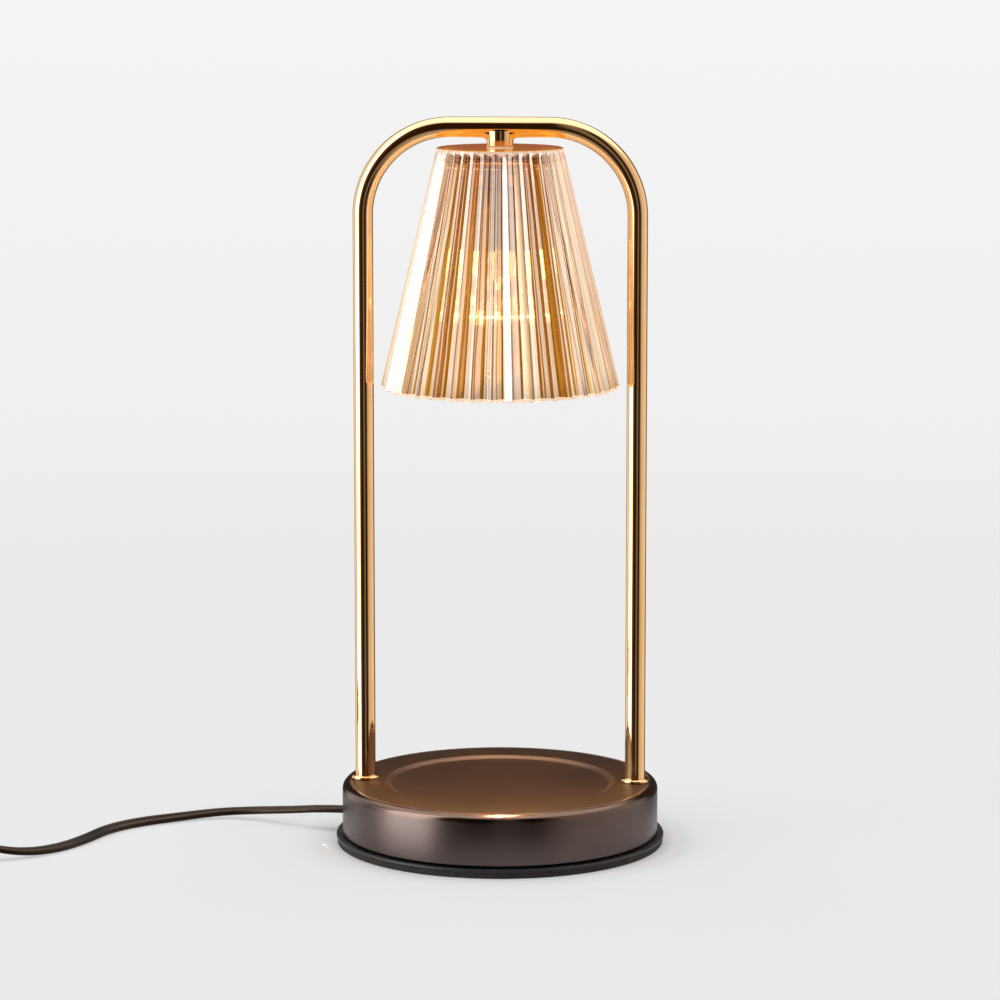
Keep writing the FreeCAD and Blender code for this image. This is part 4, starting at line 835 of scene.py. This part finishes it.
class ShapeGraph(Graph):
    """A geometry node tree with named inputs, ending in real geometry and one material."""

    def __init__(self, name, inputs):
        tree = bpy.data.node_groups.new(name, "GeometryNodeTree")
        super().__init__(tree)
        tree.interface.new_socket("Geometry", in_out="INPUT", socket_type="NodeSocketGeometry")
        self.names = {}
        for label, kind in inputs.items():
            kind = f"NodeSocket{kind}"
            made = tree.interface.new_socket(label, in_out="INPUT", socket_type=kind)
            self.names[label] = made.identifier
        tree.interface.new_socket("Geometry", in_out="OUTPUT", socket_type="NodeSocketGeometry")
        self.entry = tree.nodes.new("NodeGroupInput")

    def given(self, label):
        return Wire(self, self.entry.outputs[label])

    def finish(self, geometry):
        real = self.node("GeometryNodeRealizeInstances", None, {0: geometry})
        sockets = {"Geometry": real, "Material": self.given("Material")}
        dressed = self.node("GeometryNodeSetMaterial", None, sockets)
        self.add("NodeGroupOutput", None, {0: dressed})

    def applied(self, obj, **values):
        """Runs the tree on an object and gives the result as a plain mesh."""
        modifier = obj.modifiers.new("shape", "NODES")
        modifier.node_group = self.tree
        for label, setting in values.items():
            modifier[self.names[label.replace("_", " ")]] = setting
        bpy.context.view_layer.update()
        evaluated = obj.evaluated_get(bpy.context.evaluated_depsgraph_get())
        mesh = bpy.data.meshes.new_from_object(evaluated)
        obj.modifiers.remove(modifier)
        return mesh


def rib_tree():
    """Cuts straight-flanked, round-crested ribs with domed tops into a turned shade."""
    inputs = {
        "Rib count": "Float",
        "Crest height": "Float",
        "Crest share": "Float",
        "Flank angle": "Float",
        "Rib top": "Float",
        "Rounding": "Float",
        "Rim level": "Float",
        "Rim scallop": "Float",
        "Material": "Material",
    }
    g = ShapeGraph("shade_ribs", inputs)
    point = g.node("GeometryNodeInputPosition")
    x, y, z = g.parts(point)
    settings = {"data_type": "FLOAT"}
    outside = g.node("GeometryNodeInputNamedAttribute", settings, {"Name": "outside"})
    count, crest, flank = g.given("Rib count"), g.given("Crest share"), g.given("Flank angle")
    across = ((g.angle(x, y) * count / math.tau + 0.5).fraction() - 0.5) * 2
    radius = (x * x + y * y).sqrt()
    half = radius * math.pi / count
    ending = ((z - g.given("Rib top") + g.given("Rounding")) / g.given("Rounding")).clamped()
    groove = 1.0 - across.size()
    share = 1.0 - (groove * groove + ending * ending).sqrt().least(1.0)
    bow = crest / flank.maths("SINE", flank)
    rounded_part = share.least(crest)
    drop = bow - (bow * bow - rounded_part * rounded_part).sqrt()
    drop = drop + (share - crest).most(0.0) * flank.maths("TANGENT", flank)
    lift = (g.given("Crest height") - drop * half) * outside / radius
    scallop = g.given("Rim scallop")
    near_rim = (1.0 - (z - g.given("Rim level")) / (scallop * 3.0)).clamped()
    rise = across * across * near_rim * outside * scallop
    shift = g.node("ShaderNodeCombineXYZ", None, {0: x * lift, 1: y * lift, 2: rise})
    sockets = {"Geometry": g.given("Geometry"), "Offset": shift}
    g.finish(g.node("GeometryNodeSetPosition", None, sockets))
    return g


def make_shade():
    """The ribbed bell: a turned blank whose outer skin the rib tree moves."""
    per_rib = 28
    segments = RIB_COUNT * per_rib
    lid_skin, lid_fade = 1.0, (12.0, 24.0)
    points, weights, rings = [], [], []
    for r, z in shade_profile():
        skin = valley_radius(z)
        start, full = lid_fade if z > SHADE_TOP - lid_skin else (skin - SHADE_WALL / 2, skin)
        weight = max(0.0, min(1.0, (r - start) / (full - start)))
        ring = []
        for step in range(segments):
            turn = math.tau * step / segments
            ring.append(len(points))
            points.append((r * math.cos(turn) * MM, r * math.sin(turn) * MM, z * MM))
            weights.append(weight)
        rings.append(ring)
    faces = []
    for ring, following in zip(rings, rings[1:] + rings[:1]):
        for step in range(segments):
            after = (step + 1) % segments
            faces.append([ring[step], ring[after], following[after], following[step]])
    mesh = bpy.data.meshes.new("shade_blank")
    mesh.from_pydata(points, [], faces)
    mesh.attributes.new("outside", "FLOAT", "POINT").data.foreach_set("value", weights)
    blank = placed("shade_blank", mesh)
    shaped = rib_tree().applied(
        blank,
        Rib_count=float(RIB_COUNT),
        Crest_height=RIB_DEPTH * MM,
        Crest_share=RIB_CREST_SHARE,
        Flank_angle=RIB_FLANK_ANGLE,
        Rib_top=(SHADE_TOP - RIB_TOP_DROP) * MM,
        Rounding=RIB_END_ROUNDING * MM,
        Rim_level=SHADE_BOTTOM * MM,
        Rim_scallop=RIM_SCALLOP * MM,
        Material=SHADE_GLASS,
    )
    bpy.data.objects.remove(blank)
    shade = dress(shaped, "shade_ribbed", SHADE_GLASS)
    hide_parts("shade")


# ---- bulb


def make_bulb():
    """The blown reflector and its ceramic neck, which turn together."""
    rim, wall, waist, neck = 25.0, 1.2, 13.5, 15.0
    band, bulge, skirt = 3.2, 12.0, 3.0
    shoulder = BULB_FACE + band + 4.0
    reflector = turned(
        "bulb_reflector_blown",
        [
            (waist - wall, BULB_NECK_BOTTOM),
            (rim - 2 * wall, shoulder, bulge),
            (rim - wall, BULB_FACE),
            (rim, BULB_FACE, 0.4),
            (rim, BULB_FACE + band, wall),
            (rim - wall, shoulder, bulge),
            (waist, BULB_NECK_BOTTOM),
        ],
        REFLECTOR,
        "bulb",
        segments=120,
        steps=10,
    )
    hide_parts("bulb_reflector")
    neck_piece = turned(
        "bulb_neck_pressed",
        [
            (0.0, BULB_NECK_CEILING),
            (waist - wall, BULB_NECK_CEILING),
            (waist - wall, BULB_NECK_BOTTOM),
            (waist, BULB_NECK_BOTTOM),
            (neck, BULB_NECK_BOTTOM + skirt, 1.4),
            (neck, BULB_TOP, 2.8),
            (0.0, BULB_TOP),
        ],
        CERAMIC,
        "bulb",
    )
    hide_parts("bulb_neck")


# ---- cord


def spline_points(name, points):
    """A smooth line along a route, read back as points in metres."""
    curve = bpy.data.curves.new(name, "CURVE")
    curve.dimensions = "3D"
    spline = curve.splines.new("NURBS")
    spline.points.add(len(points) - 1)
    for knot, point in zip(spline.points, points):
        knot.co = (point[0] * MM, point[1] * MM, point[2] * MM, 1.0)
    spline.order_u = 3
    spline.use_endpoint_u = True
    spline.resolution_u = 10
    line = placed(name, curve)
    mesh = bpy.data.meshes.new_from_object(line)
    places = [vertex.co.copy() for vertex in mesh.vertices]
    bpy.data.objects.remove(line)
    bpy.data.curves.remove(curve)
    bpy.data.meshes.remove(mesh)
    return places


def twin_outline():
    """The outline of a flat twin cord: two round cores joined by a thin web."""
    outline, reach, steps = [], 140, 12
    for side in (1, -1):
        for step in range(steps + 1):
            turn = math.radians(-reach + 2 * reach * step / steps)
            along = CORD_PITCH / 2 + CORD_HALF * math.cos(turn)
            outline.append((side * along, side * CORD_HALF * math.sin(turn)))
    return outline


def twin_cord(name, places, tilts):
    """A flat twin cord along places, its width turned from level by a tilt at each place."""
    outline = twin_outline()
    sections = []
    for index, place in enumerate(places):
        before = places[max(index - 1, 0)]
        after = places[min(index + 1, len(places) - 1)]
        along = (after - before).normalized()
        level = along.cross(Vector((0, 0, 1))).normalized()
        up = level.cross(along)
        tilt = tilts[index]
        wide = level * math.cos(tilt) + up * math.sin(tilt)
        thick = up * math.cos(tilt) - level * math.sin(tilt)
        middle = place / MM
        sections.append([tuple(middle + wide * a + thick * b) for a, b in outline])
    return swept(name, sections, CORD_JACKET)


def distances(places):
    """How far along the line each place is, in millimetres."""
    total, run = 0.0, [0.0]
    for before, after in zip(places, places[1:]):
        total += (after - before).length / MM
        run.append(total)
    return run


def eased(share):
    """A share from 0 to 1 that starts and ends slowly."""
    return share * share * (3 - 2 * share)


def blended(at, stops):
    """A value read between (place, value) stops with eased steps."""
    if at <= stops[0][0]:
        return stops[0][1]
    for (start, first), (end, second) in zip(stops, stops[1:]):
        if at <= end:
            return first + (second - first) * eased((at - start) / (end - start))
    return stops[-1][1]


def make_lead():
    """The cord from the base to the dimmer."""
    places = spline_points("lead_line", [
        (-63.22, 11.15, 9.8),
        (-80.75, 14.24, 9.6),
        (-98.5, 21.8, 6.8),
        (-115.0, 31.0, 4.2),
        (-133.0, 32.5, 2.8),
        (-150.5, 23.5, 2.2),
        (-167.5, 12.3, 2.2),
        (-179.5, -2.7, 2.2),
        (-186.0, -21.0, 2.0),
        (-195.5, -38.5, 1.9),
        (-209.0, -51.0, 2.8),
        (-224.8, -56.3, 6.3),
        (-240.0, -57.0, 8.0),
    ])
    run = distances(places)
    turns = [(0, 8), (60, 12), (120, 30), (170, 20), (215, 0)]
    tilts = [math.radians(blended(at, turns)) for at in run]
    lead = twin_cord("cord_lead_twin", places, tilts)
    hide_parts("cord_lead")


# The wound spare cord, in millimetres.
COIL_CENTRE = (-348.5, 6.0)
COIL_RADII = (34.35, 31.45, 28.55, 25.65)
COIL_LOW, COIL_HIGH = 2.65, 7.85
COIL_LAPS = 7.25
# The last part of each lap climbs or closes to the next.
COIL_CLIMB_START, COIL_CLIMB_SHARE = 0.7, 0.3


def coil_points():
    """Two layers of turns, clockwise from above: inwards on the floor, then outwards."""
    per_turn = 16
    layers = [(radius, COIL_LOW) for radius in COIL_RADII]
    layers += [(radius, COIL_HIGH) for radius in reversed(COIL_RADII)]
    points = []
    swell = 1.0 / math.cos(math.pi / per_turn) ** 0.5
    for step in range(1, int(COIL_LAPS * per_turn) + 1):
        lap = step / per_turn
        whole = min(int(lap), len(layers) - 1)
        share = eased(max(0.0, (lap - whole - COIL_CLIMB_START) / COIL_CLIMB_SHARE))
        here, following = layers[whole], layers[min(whole + 1, len(layers) - 1)]
        radius = (here[0] + (following[0] - here[0]) * share) * swell
        level = here[1] + (following[1] - here[1]) * share
        turn = math.pi - math.tau * lap
        x = COIL_CENTRE[0] + radius * math.cos(turn)
        y = COIL_CENTRE[1] + radius * math.sin(turn)
        points.append((x, y, level))
    return points


def make_tail():
    """The cord from the dimmer through its coil to the plug."""
    route = [
        (-340.0, -57.0, 8.0),
        (-354.5, -56.2, 6.2),
        (-368.5, -49.5, 3.8),
        (-378.0, -38.0, 2.5),
        (-382.4, -23.5, 2.65),
        (-383.2, -9.0, 2.65),
        (-382.9, 4.0, 2.65),
    ]
    end = [(-338.0, 40.4, 8.0), (-326.0, 38.8, 7.8), (-314.0, 37.5, 7.5), (-308.0, 37.5, 7.5)]
    places = spline_points("tail_line", route + coil_points() + end)
    run = distances(places)
    total = run[-1]
    turns = [(0, 0), (38, 0), (80, 90), (total - 32, 90), (total - 6, 0)]
    tilts = [math.radians(blended(at, turns)) for at in run]
    tail = twin_cord("cord_tail_twin", places, tilts)
    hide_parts("cord_tail", "cord_coil", "cord_end")


# ---- solids kept with a finish

KEPT = {
    "anti_slip_pad": RUBBER_SHEET,
    "base_posts": STEEL,
    "base_plate_screws": STEEL,
    "ballast_screws": STEEL,
    "ballast_weight": IRON,
    "cord_grommet": BLACK_RUBBER,
    "leg_washers": STEEL,
    "leg_nuts": STEEL,
    "shade_gasket_upper": SILICONE,
    "shade_gasket_lower": SILICONE,
    "retaining_washer": GOLD,
    "threaded_nipple": STEEL,
    "shade_nut": STEEL,
    "lampholder_bracket": STEEL,
    "lampholder_body": CERAMIC,
    "lampholder_screws": STEEL,
    "lampholder_contacts": BRASS,
    "bulb_front_glass": FRONT_GLASS,
    "bulb_pins": BRASS,
    "bulb_capsule": CAPSULE_GLASS,
    "bulb_filament": FILAMENT,
    "lamp_wires": INSULATION,
    "cord_cores": INSULATION,
    "splice_caps": SPLICE,
    "coil_tie": TIE,
    "dimmer_bottom_shell": DIMMER_CASE,
    "dimmer_top_shell": DIMMER_CASE,
    "dimmer_wheel": WHEEL,
    "dimmer_board": BOARD,
    "dimmer_potentiometer": COMPONENT,
    "dimmer_triac": COMPONENT,
    "dimmer_capacitor": FILM,
    "dimmer_screws": STEEL,
    "dimmer_strain_reliefs": BLACK_RUBBER,
    "dimmer_wires": INSULATION,
    "plug_body": DIMMER_CASE,
    "plug_blades": BRASS,
    "plug_strain_relief": BLACK_RUBBER,
}


def finish_kept_solids():
    """Gives each solid that stays as it is its finish."""
    for name, finish in KEPT.items():
        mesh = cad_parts[name].data
        mesh.materials.clear()
        mesh.materials.append(finish)


# ---- studio

# The floor's half size and the reach of its tones, in metres.
FLOOR_HALF = 16.0
FLOOR_NEAR, FLOOR_FAR = -0.3, 12.7
# Its own tone from near to far, as (share of that reach, level).
FLOOR_TONES = (
    (0.0, 0.815),
    (0.04, 0.831),
    (0.084, 0.851),
    (0.115, 0.863),
    (0.18, 0.877),
    (0.35, 0.892),
    (1.0, 0.913),
)

# The room around the lamp, as (degrees from the camera's side, left negative, colour).
ROOM = (
    (-180, (0.06, 0.04, 0.03)),
    (-150, (0.06, 0.04, 0.03)),
    (-136, (1.00, 0.95, 0.90)),
    (-120, (1.00, 0.95, 0.90)),
    (-106, (0.60, 0.52, 0.46)),
    (-90, (1.40, 1.35, 1.30)),
    (-82, (4.2, 4.15, 4.05)),
    (-54, (4.2, 4.15, 4.05)),
    (-40, (0.12, 0.08, 0.05)),
    (-20, (0.03, 0.014, 0.006)),
    (-2, (0.02, 0.010, 0.004)),
    (4, (0.19, 0.16, 0.14)),
    (15, (0.19, 0.16, 0.14)),
    (21, (0.01, 0.004, 0.002)),
    (36, (0.03, 0.02, 0.012)),
    (52, (0.65, 0.55, 0.47)),
    (112, (0.98, 0.86, 0.76)),
    (130, (0.65, 0.58, 0.54)),
    (142, (0.08, 0.06, 0.05)),
    (180, (0.06, 0.04, 0.03)),
)
LAMP_MIDDLE = Vector((0.0, 0.0, 0.15))


def make_floor():
    """A pale floor in the studio's own tone, which keeps the lamp's shadow."""
    made, g = material("pale_floor")
    x, y, _ = g.parts(g.object_point())
    radius = (x * x + y * y).sqrt()
    tone = g.levels(g.range(y, FLOOR_NEAR, FLOOR_FAR), FLOOR_TONES)
    camera, glossy, transmitted = g.rays("Camera", "Glossy", "Transmission")
    lit = g.node("ShaderNodeBsdfDiffuse", None, {"Color": opaque((0.80, 0.80, 0.80))})
    shown = g.node("ShaderNodeEmission", None, {"Color": tone, "Strength": 1.0})
    # Its own tone is all that is seen far off. Near the lamp it leaves room for the shadow.
    own = g.range(radius, 0.4, 1.3, 0.6, 1.0) - g.range(radius, 0.092, 0.076, 0.0, 0.6)
    seen = own * camera.most(transmitted)
    toned = g.node("ShaderNodeMixShader", None, {0: seen, 1: lit, 2: shown})
    # Polished pieces see the room through it, except close to the foot.
    clear = g.node("ShaderNodeBsdfTransparent")
    mirrored = glossy * g.range(radius, 0.082, 0.17)
    both = g.node("ShaderNodeMixShader", None, {0: mirrored, 1: toned, 2: clear})
    g.add("ShaderNodeOutputMaterial", None, {"Surface": both})
    half = FLOOR_HALF
    corners = [(-half, -half, 0), (half, -half, 0), (half, half, 0), (-half, half, 0)]
    mesh = bpy.data.meshes.new("floor")
    mesh.from_pydata(corners, [], [(0, 1, 2, 3)])
    mesh.materials.append(made)
    floor = placed("floor", mesh)


def make_world():
    """The studio as polished surfaces see it: panels left and right, dark before and behind."""
    world = bpy.data.worlds.new("studio")
    world.use_nodes = True
    bpy.context.scene.world = world
    g = Graph(world.node_tree)
    x, y, z = g.parts(g.node("ShaderNodeTexCoord", output="Generated"))
    turn = g.angle(y * -1.0, x) / math.tau + 0.5
    panels = g.ramp(turn, [(0.5 + degrees / 360.0, colour) for degrees, colour in ROOM])
    sinking = g.range(y, -0.35, 0.15, 0.22, 0.0)
    overhead = g.range(z - sinking, 0.50, 0.72)
    below = g.range(z, -0.3, -0.6)
    room = g.mix(overhead, panels, (1.9, 1.85, 1.75))
    room = g.mix(below, room, (0.42, 0.36, 0.32))
    camera, glossy, transmitted = g.rays("Camera", "Glossy", "Transmission")
    plain = g.mix(camera.most(transmitted), (0.42, 0.42, 0.43), (0.90, 0.90, 0.90))
    # Seen through the glass, the panels are held down and paler.
    sockets = {0: room, 1: (1.1, 1.07, 1.03)}
    softened = g.node("ShaderNodeVectorMath", {"operation": "MINIMUM"}, sockets)
    softened = g.mix(0.45, softened, (0.82, 0.81, 0.80))
    room = g.mix(transmitted, room, softened)
    colour = g.mix(glossy, plain, room)
    background = g.node("ShaderNodeBackground", None, {"Color": colour, "Strength": 1.0})
    g.add("ShaderNodeOutputWorld", None, {"Surface": background})


def add_softbox(name, place, size, power):
    """A soft light that shines on the lamp's middle and isn't mirrored in it."""
    light = bpy.data.lights.new(name, "AREA")
    light.shape = "RECTANGLE"
    light.size, light.size_y = size
    light.energy = power
    lamp = placed(name, light)
    lamp.location = place
    lamp.rotation_euler = (LAMP_MIDDLE - Vector(place)).to_track_quat("-Z", "Y").to_euler()
    lamp.visible_glossy = False
    lamp.visible_transmission = False


def make_lights():
    """Three softboxes, and the bulb's warm light on the base."""
    add_softbox("softbox_left", (-1.9, -0.9, 1.1), (1.2, 1.4), 14.0)
    add_softbox("softbox_right", (2.0, -0.6, 1.0), (1.1, 1.3), 8.0)
    add_softbox("softbox_top", (0.0, 0.2, 2.4), (2.4, 2.0), 34.0)
    bulb = bpy.data.lights.new("bulb_light", "SPOT")
    bulb.energy = 30.0
    bulb.color = (1.0, 0.60, 0.28)
    bulb.spot_size = math.radians(37.1)
    bulb.spot_blend = 0.0
    bulb.shadow_soft_size = 0.002
    placed("bulb_light", bulb).location = (0.0, 0.0, 0.234)


def make_camera():
    """Seen from a little above and to the right, from far enough away to look flat."""
    camera = bpy.data.cameras.new("camera")
    camera.lens = 143.783
    camera.sensor_width = 36.0
    camera.clip_end = 60.0
    view = placed("camera", camera)
    view.location = (0.1164, -1.7619, 0.43137)
    view.rotation_euler = (math.radians(90 - 8.88), 0.0, math.radians(3.78))
    bpy.context.scene.camera = view


make_base()
make_arch()
make_stem()
make_shade()
make_bulb()
make_lead()
make_tail()
finish_kept_solids()
make_floor()
make_world()
make_lights()
make_camera()
bpy.context.scene.view_settings.view_transform = "Standard"
